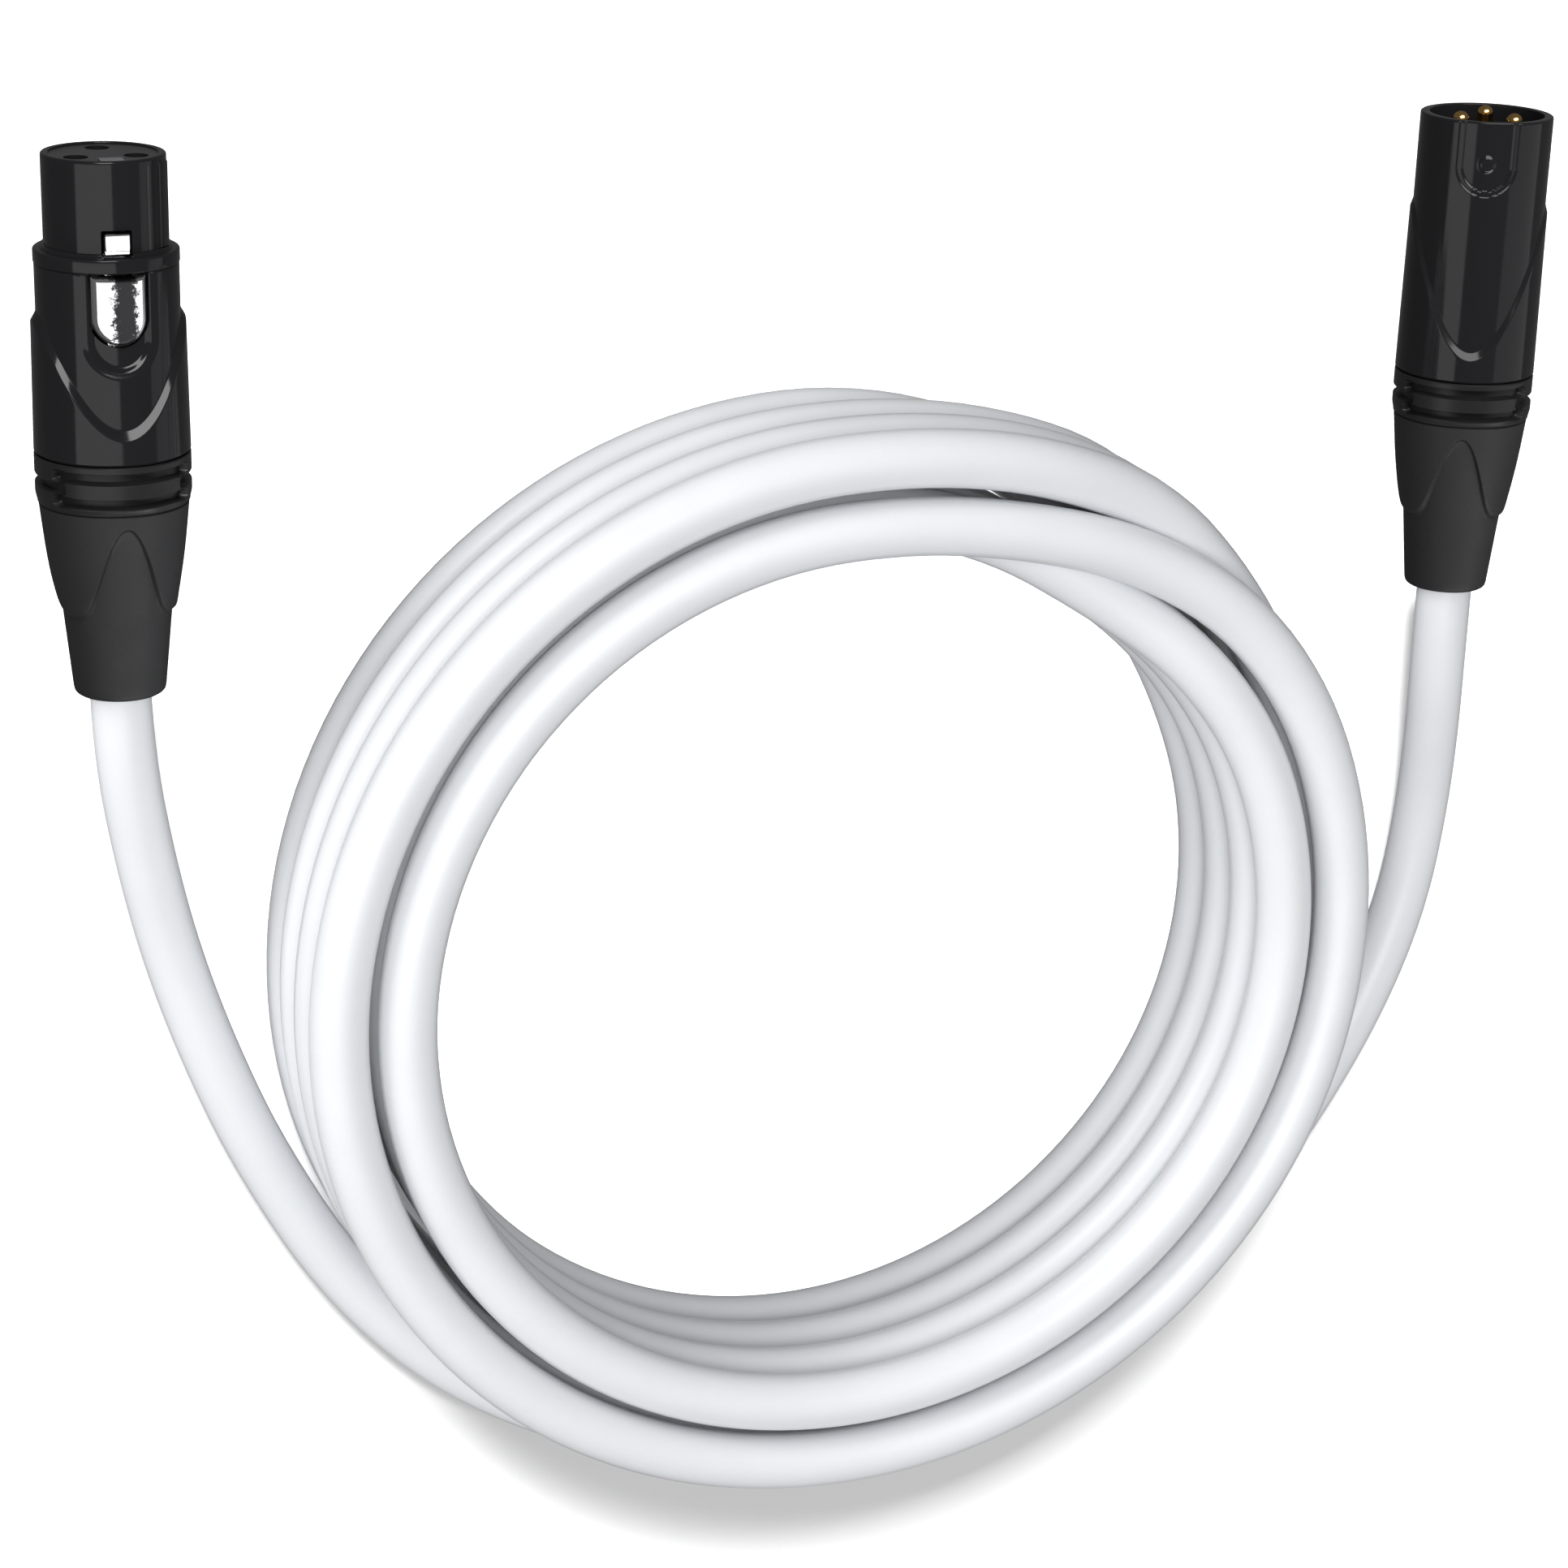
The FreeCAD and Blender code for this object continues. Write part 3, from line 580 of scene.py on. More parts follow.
def make_finishes(settings):
    """Every finish by the record's slot name, and two more for the contact insert: a pale one that paints
    light on its key and a near-black one that paints shade in its holes.
    """
    rubber = settings.rubber
    # Slot, colour, roughness, and the grain's scale and depth
    matt = (
        ("boot_rubber", rubber, 0.50, 2600.0, 0.00003),
        ("gland_plastic", shade(rubber, 0.7), 0.34, 1800.0, 0.00002),
        ("insert_plastic", shade(rubber, 2.6), 0.42, 1500.0, 0.00002),
        # Painted shade: a near-black finish for the faces inside the contact holes
        ("socket_well", shade(rubber, 0.1), 0.8, 1500.0, 0.00002),
        # Painted light: a pale finish that stands in for light falling on the face of the insert's key
        ("key_plastic", shade(rubber, 8.0), 0.36, 1500.0, 0.00002),
        ("chuck_plastic", (0.55, 0.55, 0.53), 0.45, 1500.0, 0.00002),
        ("wire_red", (0.55, 0.03, 0.02), 0.40, 1500.0, 0.00001),
        ("wire_blue", (0.02, 0.06, 0.45), 0.40, 1500.0, 0.00001),
    )
    # Slot, colour, roughness, and what tarnish leaves of the colour
    metal = (
        ("gold_contact", settings.gold, 0.16, 0.75),
        ("spring_steel", (0.52, 0.53, 0.55), 0.28, 0.82),
        ("bare_copper", (0.72, 0.36, 0.22), 0.32, 0.82),
    )
    for slot, *look in matt:
        FINISHES[slot] = matt_finish(slot, *look)
    for slot, *look in metal:
        FINISHES[slot] = metal_finish(slot, *look)
    FINISHES["white_jacket"] = jacket_finish(settings.jacket)
    FINISHES["black_shell"] = shell_finish(settings.shell)
    FINISHES["latch_chrome"] = chrome_finish(settings.chrome, Connector("female"))


# ------------------------------------------------------------------ cable

# Degrees round the coil: where every turn changes level or layer, and the coil's two ends
SHIFT_START = 30
SHIFT_END = 85
COIL_START = 27
COIL_END = 2760


def coil_points(cable):
    """Control points of the wound turns: up the outer layer, across, and down the inner one."""
    low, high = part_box("cable_coil")
    middle = (low + high) / 2
    step = 360 / cable.turn_points
    # A quadratic spline runs a little inside the control points of a turn
    inside = (3 + math.cos(math.radians(step))) / 4
    outer = [(cable.outer_layer, level) for level in range(cable.levels)]
    inner = [(cable.inner_layer, level) for level in reversed(range(cable.levels))]
    berths = outer + inner + [outer[0]]
    points = []
    for number in range(int((COIL_END - COIL_START) / step) + 1):
        lap, angle = divmod(COIL_START + number * step, 360)
        lap = int(lap)
        radius, level = berths[lap]
        next_radius, next_level = berths[min(lap + 1, len(berths) - 1)]
        share = smooth(SHIFT_START, SHIFT_END, angle)
        climb = (next_level > level) - (next_level < level)
        lean = climb * cable.swell * math.sin(math.pi * share)
        reach = mix(radius, next_radius, share) / inside + lean
        height = cable.diameter / 2 + cable.pitch * mix(level, next_level, share)
        heading = math.radians(angle)
        points.append((middle.x + reach * math.cos(heading), middle.y + reach * math.sin(heading), height))
    return points


class CABLE_OT_wind_cable(bpy.types.Operator):
    """Wind the cable: a free end, the coil and the other free end, as one curve"""

    bl_idname = "cable.wind_cable"
    bl_label = "Wind cable"

    def execute(self, context):
        cable = context.scene.cable_settings
        route = FEMALE_FREE_END + coil_points(cable) + MALE_FREE_END[::-1]
        deselect()
        bpy.ops.curve.primitive_nurbs_path_add()
        line = context.object
        line.name = "microphone_cable"
        line.data.splines.clear()
        spline = line.data.splines.new("NURBS")
        spline.points.add(len(route) - 1)
        for point, place in zip(spline.points, route):
            point.co = (*place, 1.0)
        spline.order_u = 3
        spline.use_endpoint_u = True
        spline.use_smooth = True
        line.data.dimensions = "3D"
        line.data.resolution_u = 6
        line.data.twist_mode = "MINIMUM"
        line.data.bevel_depth = cable.diameter / 2
        line.data.bevel_resolution = 6
        line.data.use_fill_caps = True
        finish_piece(line, "white_jacket", "root", "cable_tail_female", "cable_coil", "cable_tail_male")
        return {"FINISHED"}


# ------------------------------------------------------------------ boots and grip rings

def petal_edge(turn, petals):
    """Station of the petals' edge: high over each arch and low at each petal's tip."""
    return mix(PETAL_TIP, ARCH_APEX, (0.5 + 0.5 * math.cos(petals * turn)) ** 1.9)


def tail_radius(station):
    """Radius of the tail, which runs on under the petals."""
    if station < PETAL_TIP:
        return mix(TAIL_FOOT, TAIL_WAIST, station / PETAL_TIP)
    return mix(TAIL_WAIST, TAIL_HEAD, (station - PETAL_TIP) / (BOOT_END - PETAL_TIP))


def pass_edge(share, low, edge, half_lip, top):
    """A ring's station: below an edge for shares up to 1, on its lip up to 2, above it up to 3."""
    stops = (low, edge - half_lip, edge + half_lip, top)
    run = min(max(math.ceil(share) - 1, 0), 2)
    return mix(stops[run], stops[run + 1], share - run)


def boot_skin(kind, boot):
    """A rubber boot: a tapered tail whose petals reach down from the grip ring."""
    place = Connector(kind)
    low = 0.9
    half_lip = 0.35
    bulge = 0.22
    lining = 10.0
    top = BOOT_END - 0.25

    def petal_radius(station):
        swell = math.sin(math.pi * smooth(PETAL_TIP - 3, BOOT_END + 3, station))
        run = (station - PETAL_TIP) / (BOOT_END - PETAL_TIP)
        return mix(TAIL_WAIST + boot.step, PETAL_HEAD, run) + bulge * swell

    def ring(share, weight):
        def at(turn):
            station = pass_edge(share, low, petal_edge(turn, boot.petals), half_lip, top)
            return mix(tail_radius(station), petal_radius(station), weight), station
        return at

    outside = [ring(share, 0.0) for share in spread(0.0, 1.0, 0.05)]
    outside += [ring(1 + share, smooth(0, 1, share)) for share in spread(0.0, 1.0, 0.125)[1:]]
    outside += [ring(2 + share, 1.0) for share in spread(0.0, 1.0, 0.08)[1:]]
    lip = steady(rounded([
        (CABLE_HOLE, 1.5, 0), (CABLE_HOLE, 0.0, 0.3), (TAIL_FOOT, 0.0, 0.7), (TAIL_FOOT + 0.05, low, 0),
    ])[:-1])
    inner = steady([
        (9.45, BOOT_END), (6.7, BOOT_END), (6.7, lining), (CABLE_HOLE, lining), (CABLE_HOLE, 1.5),
    ])
    return roll_skin("boot_" + kind, place, lip + outside + inner, even_turns(240))


def slot_depth(turn, station, place, boot):
    """How deep a grip groove is at a point: a long slot with round, wider ends."""
    centre, middle, reach = place
    away = abs((turn - centre + math.pi) % FULL_TURN - math.pi) * SLEEVE_RADIUS
    over = max(0.0, away - reach)
    off = math.hypot(over, station - middle)
    half = boot.groove_width / 2 * (1 + 0.35 * smooth(reach - 2.5, reach, away))
    return boot.groove_depth * (1 - smooth(half - 0.12, half + 0.12, off))


def grip_slots():
    """Centre turn, station and half length in mm of each groove of a grip ring."""
    quarter = (GLAND_END - BOOT_END) / 4
    long_reach = math.radians(55) * SLEEVE_RADIUS
    side_reach = math.radians(38) * SLEEVE_RADIUS
    slots = []
    for centre in (0.0, math.pi):
        for row in (1, 3):
            slots.append((centre, BOOT_END + row * quarter, long_reach))
        slots.append((centre + math.pi / 2, BOOT_END + 2 * quarter, side_reach))
    return slots


def grip_ring(kind, boot):
    """The grip ring: pairs of long grooves front and back, and a slot at each side."""
    place = Connector(kind)
    slots = grip_slots()
    low, top = BOOT_END + 0.05, GLAND_END - 0.08

    def ring(station):
        def at(turn):
            depth = max(slot_depth(turn, station, slot, boot) for slot in slots)
            taper = mix(9.85, SLEEVE_RADIUS, smooth(low, low + 1.6, station))
            return taper - depth, station
        return at

    outside = [ring(station) for station in spread(low + 0.15, top - 0.15, 0.11)]
    foot = steady([(THREAD_RADIUS, low), (9.7, low)])
    head = steady([(9.95, top), (THREAD_RADIUS, top), (THREAD_RADIUS, low)])
    return roll_skin("grip_ring_" + kind, place, foot + outside + head, even_turns(300))


class CABLE_OT_mould_boots(bpy.types.Operator):
    """Mould the rubber boot and the grip ring of each connector"""

    bl_idname = "cable.mould_boots"
    bl_label = "Mould boots"

    def execute(self, context):
        boot = context.scene.boot_settings
        for kind in ("female", "male"):
            skin = boot_skin(kind, boot)
            finish_piece(skin, "boot_rubber", "root", kind + "_boot")
            ring = grip_ring(kind, boot)
            finish_piece(ring, "gland_plastic", "root", kind + "_gland_ring")
        return {"FINISHED"}


# ------------------------------------------------------------------ shells

def u_depth(across, station, half, low):
    """Distance inside a U-shaped outline, which is open towards the mating face."""
    centre = low + half
    if station >= centre:
        return half - abs(across)
    return half - math.hypot(across, station - centre)


def sleeve_edge(turn, tip):
    """Station of the sleeve's edge: low front and back, and high at the sides."""
    share = (SLEEVE_TIP_RADIUS * math.sin(turn) / SLEEVE_HALF_WIDTH) ** 2
    return mix(SLEEVE_LOW, tip, share)


def lip_weight(share):
    """The sleeve's lip in section: a straight slope between two small rounded shoulders."""
    rounding = 0.18
    slope = 1 / (1 - rounding)
    if share < rounding:
        return 1 - slope * share ** 2 / (2 * rounding)
    if share > 1 - rounding:
        return slope * (1 - share) ** 2 / (2 * rounding)
    return 1 - slope * (share - rounding / 2)


def sleeve_rings(shell, body, tip, top, relief, gap):
    """Rings of a shell's outside: the sleeve, its lip, and the body up to a station."""
    def sleeve_radius(station):
        return mix(SLEEVE_RADIUS, SLEEVE_TIP_RADIUS, (station - GLAND_END) / (tip - GLAND_END))

    def ring(share, weight):
        def at(turn):
            station = pass_edge(share, GLAND_END + 0.35, sleeve_edge(turn, tip), shell.lip / 2, top)
            radius = mix(body - relief(turn, station), sleeve_radius(station), weight)
            return radius, station
        return at

    rows = (top - SLEEVE_LOW) / gap
    rings = steady([(BODY_BORE, SHELL_LOW), (SLEEVE_RADIUS - 0.3, SHELL_LOW)])
    rings += [ring(share, 1.0) for share in spread(0.0, 1.0, 0.07)]
    rings += [ring(1 + share, lip_weight(share)) for share in spread(0.0, 1.0, 0.0625)[1:]]
    rings += [ring(2 + share, 0.0) for share in spread(0.0, 1.0, 1 / rows)[1:]]
    return rings


def female_relief(depth):
    """The bowl round the push tab: a soft shoulder and a deeper inside."""
    half = 5.1
    shoulder = 0.28

    def at(turn, station):
        if abs((turn + math.pi) % FULL_TURN - math.pi) > math.pi / 2:
            return 0.0
        inside = u_depth(FEMALE_BODY * math.sin(turn), station, half, RECESS_LOW - 0.4)
        return shoulder * smooth(0.0, 0.8, inside) + (depth - shoulder) * smooth(0.7, 1.7, inside)
    return at


def within(low, high, ease, value):
    """1 between two numbers and 0 outside them, with an ease inside each end."""
    return smooth(low, low + ease, value) - smooth(high - ease, high, value)


def nose_relief(turn, station):
    """Lengthwise key marks on the nose: a thin groove, and a rib with a groove beside it."""
    degrees = math.degrees((turn + math.pi) % FULL_TURN - math.pi)
    groove = within(31.5, 35.5, 1.2, degrees)
    side = within(47.5, 51.5, 1.2, degrees)
    rib = within(51.5, 69.5, 1.5, degrees)
    below_rim = 1 - smooth(FEMALE_FACE - 1.0, FEMALE_FACE - 0.6, station)
    return (0.22 * groove + 0.25 * side - 0.28 * rib) * below_rim


def female_shell(shell):
    place = Connector("female")
    relief = female_relief(shell.recess_depth)
    top = COLLAR_LOW - 0.3
    body = sleeve_rings(shell, FEMALE_BODY, shell.female_tip, top, relief, 0.17)
    collar = rounded([
        (FEMALE_BODY, top, 0), (FEMALE_BODY - 0.18, COLLAR_LOW - 0.05, 0.05),
        (COLLAR_RADIUS, COLLAR_LOW + 0.1, 0.06), (COLLAR_RADIUS, COLLAR_TOP, 0.28),
        (NOSE_RADIUS + 0.55, COLLAR_TOP + 0.02, 0.05),
        (NOSE_RADIUS + 0.5, COLLAR_TOP + 0.45, 0.12), (NOSE_RADIUS, COLLAR_TOP + 0.5, 0),
    ])[1:]

    def nose_ring(station):
        return lambda turn: (NOSE_RADIUS - nose_relief(turn, station), station)

    nose = [nose_ring(station) for station in spread(COLLAR_TOP + 0.6, FEMALE_FACE - 1.1, 1.0)]
    nose += [nose_ring(station) for station in spread(FEMALE_FACE - 1.0, FEMALE_FACE - 0.45, 0.09)]
    inside = rounded([
        (NOSE_RADIUS, FEMALE_FACE - 0.4, 0), (NOSE_RADIUS, FEMALE_FACE, 0.3), (NOSE_BORE, FEMALE_FACE, 0.15),
        (NOSE_BORE, COLLAR_LOW - 3, 0), (BODY_BORE, COLLAR_LOW - 3, 0), (BODY_BORE, SHELL_LOW, 0),
    ])[1:]
    turns = dense_turns(-38, 78, 0.8, 3.0)
    skin = roll_skin("shell_female", place, body + steady(collar) + nose + steady(inside), turns)
    tab_hole = u_cutter("tab_hole", place, TAB_HALF + LATCH_GAP, TAB_LOW - LATCH_GAP, TAB_TOP + LATCH_GAP)
    half = LATCH_WIDTH / 2 + LATCH_GAP
    window = soft_block("catch_window", place, (-half, CATCH_LOW - LATCH_GAP, CUT_FROM),
                        (half, CATCH_TOP + LATCH_GAP, CUT_TO), 0.25)
    carve(skin, tab_hole, window)
    return close_mesh(skin)


def male_relief(turn, station):
    """The panel on the latch side: two fine steps down to its floor and a round raised mark."""
    if abs((turn + math.pi) % FULL_TURN - math.pi) > math.pi / 2:
        return 0.0
    half_panel = 4.4
    mark_height = 0.30
    mark_station = PANEL_LOW + 4.7
    across = MALE_BODY * math.sin(turn)
    inside = u_depth(across, station, half_panel, PANEL_LOW)
    floor = 0.18 * smooth(0.0, 0.22, inside) + 0.24 * smooth(0.72, 0.95, inside)
    off = math.hypot(across, station - mark_station)
    return floor - mark_height * (1 - smooth(0.7, 1.5, off))


def male_shell(shell):
    place = Connector("male")
    top = MALE_RIM - 0.35
    body = sleeve_rings(shell, MALE_BODY, shell.male_tip, top, male_relief, 0.16)
    rim = rounded([
        (MALE_BODY, top, 0), (MALE_BODY, MALE_RIM, 0.28), (MALE_BORE, MALE_RIM, 0.12),
        (MALE_BORE, MALE_RIM - 2.0, 0)])[1:]

    def rim_ring(point):
        def at(turn):
            radius, station = point
            wall = 1 - male_relief(turn, min(station, top)) / (MALE_BODY - MALE_BORE)
            return MALE_BORE + (radius - MALE_BORE) * wall, station
        return at

    inside = steady([(MALE_BORE, 50.0), (BODY_BORE, 50.0), (BODY_BORE, SHELL_LOW)])
    turns = dense_turns(-31, 31, 0.7, 2.5)
    return roll_skin("shell_male", place, body + [rim_ring(point) for point in rim] + inside, turns)


class CABLE_OT_mould_shells(bpy.types.Operator):
    """Mould the two glossy shells with their scalloped sleeves"""

    bl_idname = "cable.mould_shells"
    bl_label = "Mould shells"

    def execute(self, context):
        for mould, node in ((female_shell, "female_shell"), (male_shell, "male_shell")):
            shell = mould(context.scene.shell_settings)
            finish_piece(shell, "black_shell", "root", node)
        return {"FINISHED"}


# ------------------------------------------------------------------ latch, contacts, inserts

def push_tab(place):
    """The curved push tab: a domed plate with one round end and soft edges."""
    thick = 0.9
    radius = 9.15
    rise = 0.55
    soft_edge = 0.7
    round_share = 0.4
    centre = TAB_LOW + TAB_HALF
    deselect()
    bpy.ops.mesh.primitive_grid_add(x_subdivisions=36, y_subdivisions=60, size=2)
    tab = bpy.context.object
    for vertex in tab.data.vertices:
        along = (vertex.co.y + 1) / 2
        if along < round_share:
            angle = along / round_share * math.pi / 2
            width = TAB_HALF * math.sin(angle)
            station = centre - TAB_HALF * math.cos(angle)
        else:
            width = TAB_HALF
            station = mix(centre, TAB_TOP, (along - round_share) / (1 - round_share))
        spot = vertex.co.x * width
        edge = min(u_depth(spot, station, TAB_HALF, TAB_LOW), TAB_TOP - station)
        dome = rise * (1 - (1 - min(edge / soft_edge, 1.0)) ** 2)
        height = math.sqrt(radius ** 2 - spot ** 2) - rise + dome
        vertex.co = Vector((spot, station, height))
    place.lay(tab)
    close_mesh(tab)
    apply_modifier(tab, "SOLIDIFY", thickness=thick * MM, offset=-1.0)
    return close_mesh(tab, math.radians(50))


def latch_lever():
    """The latch: push tab, link under it and square catch in the nose's window."""
    place = Connector("female")
    half = LATCH_WIDTH / 2
    pieces = [push_tab(place)]
    link = 5.2
    under_tab = 8.2
    # Low and high station, where each bar begins and ends outwards, and its rounding
    bars = (
        (PIVOT_STATION - 1.2, TAB_LOW + 1.0, 5.5, 7.5, 0.2),
        (TAB_LOW + 0.35, TAB_LOW + 1.5, 5.5, under_tab, 0.15),
        (TAB_TOP - 1.4, TAB_TOP - 0.1, link, under_tab, 0.15),
        (TAB_TOP - 1.4, CATCH_TOP, link, link + 1.0, 0.15),
        (CATCH_LOW + 0.55, CATCH_TOP, link, 8.5, 0.22),
        (CATCH_LOW, CATCH_LOW + 0.9, link, 8.1, 0.15),
    )
    for low, high, near, far, edge in bars:
        pieces.append(soft_block("latch_bar", place, (-half, low, near), (half, high, far), edge))
    return close_mesh(join("latch_plate", pieces), math.radians(40))


class CABLE_OT_press_latch(bpy.types.Operator):
    """Make the bright latch of the female connector on its own body, and its leaf spring"""

    bl_idname = "cable.press_latch"
    bl_label = "Press latch"

    def execute(self, context):
        finish_piece(latch_lever(), "latch_chrome", "latch", "latch_lever")
        leaf = soften_copy("latch_spring", "leaf_spring_female", 0.05)
        finish_piece(leaf, "spring_steel", "root", "latch_spring")
        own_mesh(leaf)
        return {"FINISHED"}


def turn_pin(number, across, out):
    """One plug pin: a rounded tip on a straight shank, with a wider root."""
    radius = 1.18
    root_radius = radius + 0.5
    tip = 71.0
    root_top = 57.0
    root_low = 45.0
    dome = [(radius * math.sin(angle), tip - radius + radius * math.cos(angle))
            for angle in spread(0.0, math.pi / 2, 0.16)]
    outline = dome + [(radius, root_top), (root_radius, root_top), (root_radius, root_low), (0.0, root_low)]
    pin = Connector("male")
    pin.exit = pin.lay_point(across, 0, out)
    return roll_skin("contact_pin_%d" % number, pin, steady(outline), even_turns(40))


def soften_copy(node, name, edge):
    """A copy of a CAD node with merged faces and its sharp edges rounded."""
    deselect()
    piece = frame["nodes"][node].copy()
    piece.data = piece.data.copy()
    piece.parent = None
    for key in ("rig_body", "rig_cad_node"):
        del piece[key]
    piece.matrix_world = Matrix.Identity(4)
    bpy.context.scene.collection.objects.link(piece)
    piece.name = name
    open_mesh(piece)
    bpy.ops.mesh.remove_doubles(threshold=1e-6)
    bpy.ops.mesh.customdata_custom_splitnormals_clear()
    bpy.ops.mesh.dissolve_limited(angle_limit=math.radians(0.6))
    bpy.ops.object.mode_set(mode="OBJECT")
    apply_modifier(piece, "BEVEL", width=edge * MM, segments=2, limit_method="ANGLE",
                   angle_limit=math.radians(40))
    return close_mesh(piece, math.radians(30))


def flat_gap(first, second):
    """Distance between two points across a connector's axis."""
    return math.hypot(first.x - second.x, first.z - second.z)


def mouth_cone(place, across, out):
    """A cutter for the wide, sloping mouth of one contact hole."""
    deselect()
    bpy.ops.mesh.primitive_cone_add(vertices=48, radius1=1.4, radius2=1.6, depth=2.4)
    cone = bpy.context.object
    turn = Matrix.Rotation(math.radians(-90), 4, "X")
    cone.data.transform(Matrix.Translation((across, INSERT_FACE - 0.9, out)) @ turn)
    return place.lay(cone)


def contact_insert(place):
    """The female insert: contact holes with wide mouths, and a raised key."""
    half_key = 1.5
    disc = soften_copy("female_insert", "contact_insert_female", 0.2)
    carve(disc, *[mouth_cone(place, across, out) for across, out in CONTACTS])
    key = soft_block("insert_key", place, (-half_key, INSERT_FACE - 1.0, 4.9),
                     (half_key, INSERT_FACE + 0.35, 6.9), 0.12)
    return join("contact_insert_female", [disc, key])


def paint_insert_shade_and_light(disc, place):
    """Give the insert's key a paler finish as painted light on its face, and its holes a darker one as
    painted shade.
    """
    for name in ("key_plastic", "socket_well"):
        disc.data.materials.append(FINISHES[name])
    raised = place.spot(0, 0, INSERT_FACE + 0.2).y
    below = place.spot(0, 0, INSERT_FACE - 0.15).y
    reach = 1.75 * MM
    wells = [place.lay_point(across, 0, out) for across, out in CONTACTS]
    for face in disc.data.polygons:
        # Raised key faces get the painted light, faces deep in the holes the painted shade
        face.material_index = int(face.center.y > raised)
        if face.center.y < below and min(flat_gap(face.center, well) for well in wells) < reach:
            face.material_index = 2


class CABLE_OT_set_contacts(bpy.types.Operator):
    """Set the insert with its key, and the three gold pins"""

    bl_idname = "cable.set_contacts"
    bl_label = "Set contacts"

    def execute(self, context):
        place = Connector("female")
        disc = contact_insert(place)
        finish_piece(disc, "insert_plastic", "root", "female_insert")
        paint_insert_shade_and_light(disc, place)
        for number, (across, out) in enumerate(CONTACTS, start=1):
            pin = turn_pin(number, across, out)
            finish_piece(pin, "gold_contact", "root", "male_pin_%d" % number)
        return {"FINISHED"}


# What a CAD node's name says of its finish; the first word that fits is used
CAD_FINISHES = (
    ("thread_sleeve", "gland_plastic"), ("chuck", "chuck_plastic"), ("cable_end", "white_jacket"),
    ("shield_wire", "bare_copper"), ("hot_wire", "wire_red"), ("cold_wire", "wire_blue"),
    ("ground_spring", "spring_steel"), ("insert", "insert_plastic"), ("contact", "gold_contact"),
    ("pin_", "gold_contact"), ("pivot", "spring_steel"), ("latch_spring", "spring_steel"),
    ("latch", "latch_chrome"), ("boot", "boot_rubber"), ("gland", "gland_plastic"),
    ("shell", "black_shell"), ("cable", "white_jacket"),
)


class CABLE_OT_finish_inner_parts(bpy.types.Operator):
    """Give every CAD piece the finish that its name asks for"""

    bl_idname = "cable.finish_inner_parts"
    bl_label = "Finish inner parts"

    def execute(self, context):
        for name, node in frame["nodes"].items():
            slot = next(finish for word, finish in CAD_FINISHES if word in name)
            node.data.materials.clear()
            node.data.materials.append(FINISHES[slot])
        return {"FINISHED"}


class CABLE_OT_make_finishes(bpy.types.Operator):
    """Make the finishes of every material slot"""

    bl_idname = "cable.make_finishes"
    bl_label = "Make finishes"

    def execute(self, context):
        make_finishes(context.scene.finish_settings)
        return {"FINISHED"}


# ------------------------------------------------------------------ camera and stage

class CABLE_OT_place_camera(bpy.types.Operator):
    """Place the camera over the cable, leaning to one side"""

    bl_idname = "cable.place_camera"
    bl_label = "Place camera"

    def execute(self, context):
        stage = context.scene.stage_settings
        lean = math.sin(stage.tilt)
        back = Vector((lean * math.cos(stage.side), lean * math.sin(stage.side), math.cos(stage.tilt)))
        right = Vector((0, 1, 0)).cross(back).normalized()
        upward = back.cross(right)
        turn = Matrix((right, upward, back)).transposed() @ Matrix.Rotation(stage.roll, 3, "Z")
        deselect()
        bpy.ops.object.camera_add(location=Vector(stage.target) + back * stage.distance)
        camera = context.object
        camera.name = "camera"
        camera.rotation_mode = "QUATERNION"
        camera.rotation_quaternion = turn.to_quaternion()
        camera.data.lens = stage.lens
        camera.data.sensor_width = 36.0
        camera.data.clip_start = 0.01
        camera.data.clip_end = 20.0
        context.scene.camera = camera
        return {"FINISHED"}


def gather(name, pieces):
    """A collection of pieces that a light can be kept to."""
    group = bpy.data.collections.new(name)
    for piece in pieces:
        group.objects.link(piece)
    return group


def keep_light(light, lit, shading=None):
    """Let a light reach one group only and, when a shading group is given, let only that group throw shadows
    in it.
    """
    light.light_linking.receiver_collection = lit
    if shading:
        light.light_linking.blocker_collection = shading
    light.visible_camera = False


def softbox(name, place, aim, width, height, power):
    """A rectangular area light that looks at a point."""
    deselect()
    bpy.ops.object.light_add(type="AREA", location=place)
    light = bpy.context.object
    light.name = name
    light.data.shape = "RECTANGLE"
    light.data.size = width
    light.data.size_y = height
    light.data.energy = power
    light.rotation_mode = "QUATERNION"
    light.rotation_quaternion = (Vector(place) - Vector(aim)).to_track_quat("Z", "Y")
    return light


def band_light(name, aim, lean, reach, depth, glow):
    """A long strip that shows as one bright band along a connector.

    lean is its direction from straight above, towards -X, reach the half angle it fills,
    depth its width along the connector, and glow its brightness.
    """
    away = 1.3
    behind = 0.21
    place = aim + Vector((-math.sin(lean), -behind, math.cos(lean))) * away
    length = 2 * away * math.tan(reach)
    strip = softbox(name, place, aim, depth, length, glow * math.pi * length * depth)
    back = (place - aim).normalized()
    along = (Vector((0, 1, 0)) - back * back.y).normalized()
    strip.rotation_quaternion = Matrix((along, back.cross(along), back)).transposed().to_quaternion()
    return strip


def make_floor():
    """A wide pale floor, which takes shadows but throws no light back."""
    deselect()
    bpy.ops.mesh.primitive_plane_add(size=1.8)
    floor = bpy.context.object
    floor.name = "floor"
    paint = Recipe("floor_paper", Roughness=0.9, Specular_IOR_Level=0.0)
    grain = paint.ramp(paint.noise(300.0, 3.0), 0.3, 0.7)
    paint.feed(Base_Color=paint.blend(grain, (0.90, 0.90, 0.90, 1.0), (0.91, 0.91, 0.91, 1.0)))
    floor.data.materials.append(paint.material)
    floor.visible_diffuse = False
    floor.visible_glossy = False
    floor.visible_shadow = False
    return floor


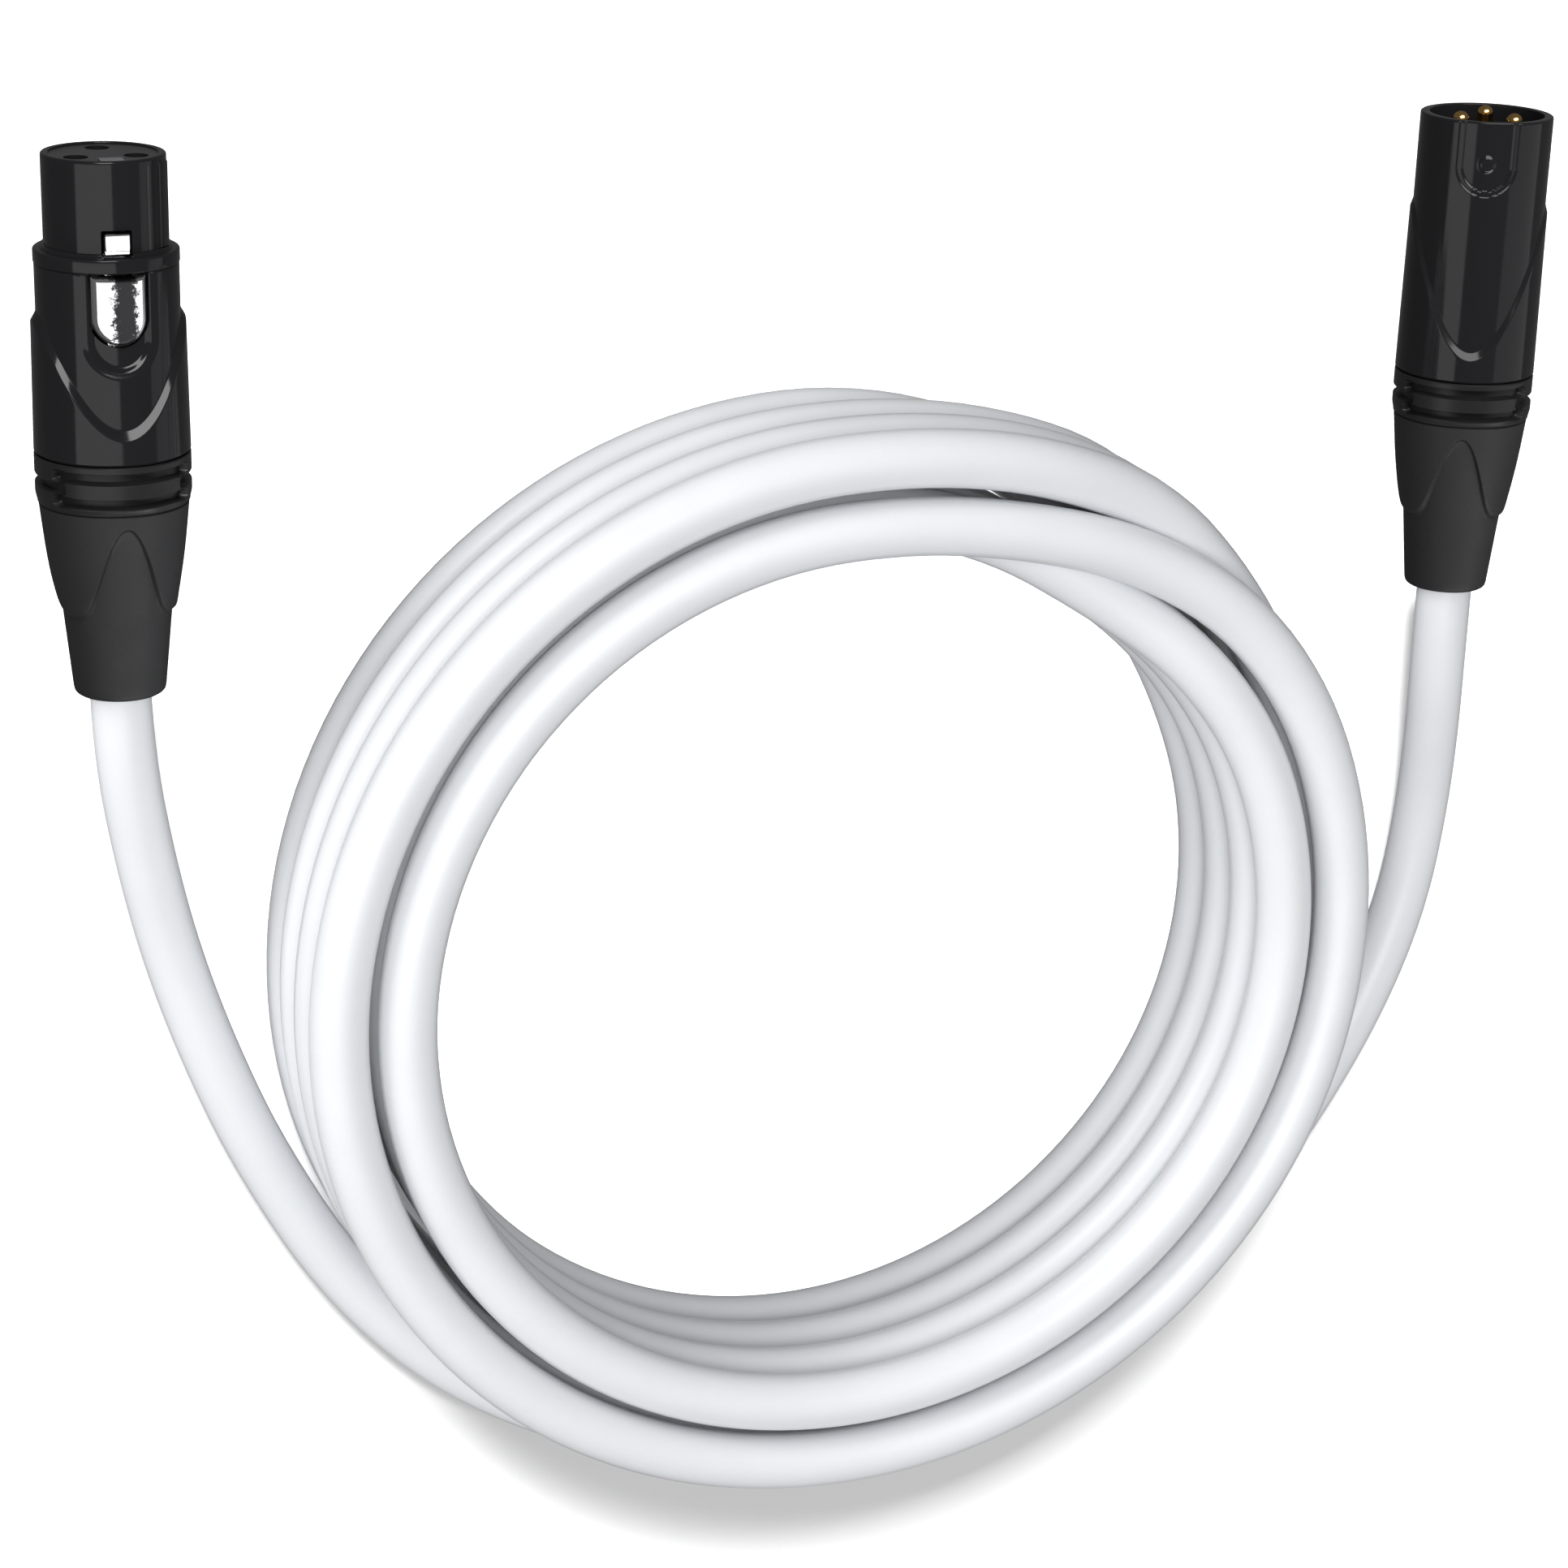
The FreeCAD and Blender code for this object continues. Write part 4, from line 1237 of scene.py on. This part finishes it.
def make_world():
    """White to look at, pale to light by, and dark in the gloss of the black shells."""
    world = bpy.data.worlds.new("studio")
    world.use_nodes = True
    world.cycles.sampling_method = "NONE"
    tree = world.node_tree
    path = tree.nodes.new("ShaderNodeLightPath")
    strength = tree.nodes["Background"].inputs["Strength"]
    tree.nodes["Background"].inputs["Color"].default_value = (1.0, 1.0, 1.0, 1.0)
    total = None
    for ray, level in (("Is Camera Ray", 1.0), ("Is Diffuse Ray", 0.42), ("Is Glossy Ray", 0.12)):
        part = tree.nodes.new("ShaderNodeMath")
        part.operation = "MULTIPLY_ADD"
        part.inputs[1].default_value = level
        part.inputs[2].default_value = 0.0
        tree.links.new(path.outputs[ray], part.inputs[0])
        if total:
            tree.links.new(total, part.inputs[2])
        total = part.outputs[0]
    tree.links.new(total, strength)
    bpy.context.scene.world = world


def light_inside(middle):
    """A spot on the floor inside the coil only."""
    height = 1.5
    radius = 0.0705
    bpy.ops.object.light_add(type="SPOT", location=(middle.x, middle.y, height))
    light = bpy.context.object
    light.name = "floor_inside"
    light.data.spot_size = 2 * math.atan(radius / height)
    light.data.spot_blend = 0.1
    light.data.energy = 90.0
    return light


def place_lights(floor):
    """Soft lights, each kept to the floor, the cable or one group of fittings."""
    made = [thing for thing in bpy.data.objects if thing.type in ("MESH", "CURVE") and thing is not floor]
    cable = [thing for thing in made if thing.type == "CURVE"]
    latch = [thing for thing in made if thing.name.startswith("latch")]
    fittings = [thing for thing in made if thing not in cable and thing not in latch]
    groups = {
        "floor": [floor],
        "cable": cable,
        "female": [thing for thing in fittings if "female" in thing.name],
        "male": [thing for thing in fittings if "female" not in thing.name],
        "latch": latch,
        "fittings": fittings + latch,
    }
    lit = {name: gather("lit_" + name, pieces) for name, pieces in groups.items()}
    low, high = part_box("cable_coil")
    middle = (low + high) / 2
    along = Vector((0, 0.035, 0))
    female = Connector("female").exit + along
    male = Connector("male").exit + along

    # Name, place, aim, width, height, watts, and the group it is kept to
    boxes = (
        ("floor_top", (0, 0, 1.6), middle, 1.2, 1.2, 6.0, "floor"),
        ("floor_key", (-0.45, 1.15, 1.25), middle, 0.45, 0.45, 60.0, "floor"),
        ("cable_top", (-0.5, 0.2, 1.45), middle, 0.9, 0.9, 15.5, "cable"),
        ("cable_side", (-1.0, 0.75, 0.22), middle, 1.2, 0.25, 8.0, "cable"),
        ("rear_strip", (0.3, -1.1, 0.9), (0, 0.05, 0), 1.8, 0.25, 14.0, "fittings"),
        ("female_fill", (-0.25, 1.2, 1.1), female, 0.7, 0.8, 24.0, "female"),
        ("male_fill", (0.0, 1.2, 1.2), male, 1.5, 0.8, 34.0, "male"),
    )
    # Name, aim, lean and reach in degrees, depth, glow, and the group it is kept to
    bands = (
        ("female_band", female, 30, 34, 0.5, 2.0, "female"),
        ("male_band", male, 67, 21, 0.5, 2.0, "male"),
        ("female_rim", female, -72, 14, 0.5, 0.7, "female"),
        ("male_rim", male, -50, 30, 0.5, 0.8, "male"),
        ("latch_band", female, -10, 56, 0.9, 1.5, "latch"),
    )
    for *shape, group in boxes:
        keep_light(softbox(*shape), lit[group], lit["cable"] if group == "floor" else None)
    for name, aim, lean, reach, depth, glow, group in bands:
        strip = band_light(name, aim, math.radians(lean), math.radians(reach), depth, glow)
        keep_light(strip, lit[group])
    keep_light(light_inside(middle), lit["floor"], lit["floor"])


class CABLE_OT_set_stage(bpy.types.Operator):
    """Set the pale floor, the soft lights and the plain surroundings"""

    bl_idname = "cable.set_stage"
    bl_label = "Set stage"

    def execute(self, context):
        floor = make_floor()
        make_world()
        place_lights(floor)
        context.scene.view_settings.view_transform = "Standard"
        return {"FINISHED"}


# ------------------------------------------------------------------ add-on

BUILD_ORDER = ("place_camera", "make_finishes", "wind_cable", "mould_boots", "mould_shells",
               "press_latch", "set_contacts", "finish_inner_parts", "set_stage")


class CABLE_PT_panel(bpy.types.Panel):
    """Steps that build the cable, in order"""

    bl_label = "Microphone cable"
    bl_idname = "CABLE_PT_panel"
    bl_space_type = "VIEW_3D"
    bl_region_type = "UI"
    bl_category = "Cable"

    def draw(self, context):
        for step in BUILD_ORDER:
            self.layout.operator("cable." + step)


SETTINGS = {
    "cable_settings": CableSettings,
    "shell_settings": ShellSettings,
    "boot_settings": BootSettings,
    "finish_settings": FinishSettings,
    "stage_settings": StageSettings,
}
CLASSES = (
    *SETTINGS.values(),
    CABLE_OT_place_camera, CABLE_OT_make_finishes, CABLE_OT_wind_cable, CABLE_OT_mould_boots,
    CABLE_OT_mould_shells, CABLE_OT_press_latch, CABLE_OT_set_contacts, CABLE_OT_finish_inner_parts,
    CABLE_OT_set_stage, CABLE_PT_panel,
)


def register():
    for kind in CLASSES:
        bpy.utils.register_class(kind)
    for name, kind in SETTINGS.items():
        setattr(bpy.types.Scene, name, PointerProperty(type=kind))


def unregister():
    for name in SETTINGS:
        delattr(bpy.types.Scene, name)
    for kind in reversed(CLASSES):
        bpy.utils.unregister_class(kind)


def main():
    register()
    for step in BUILD_ORDER:
        getattr(bpy.ops.cable, step)()


if __name__ == "__main__":
    main()
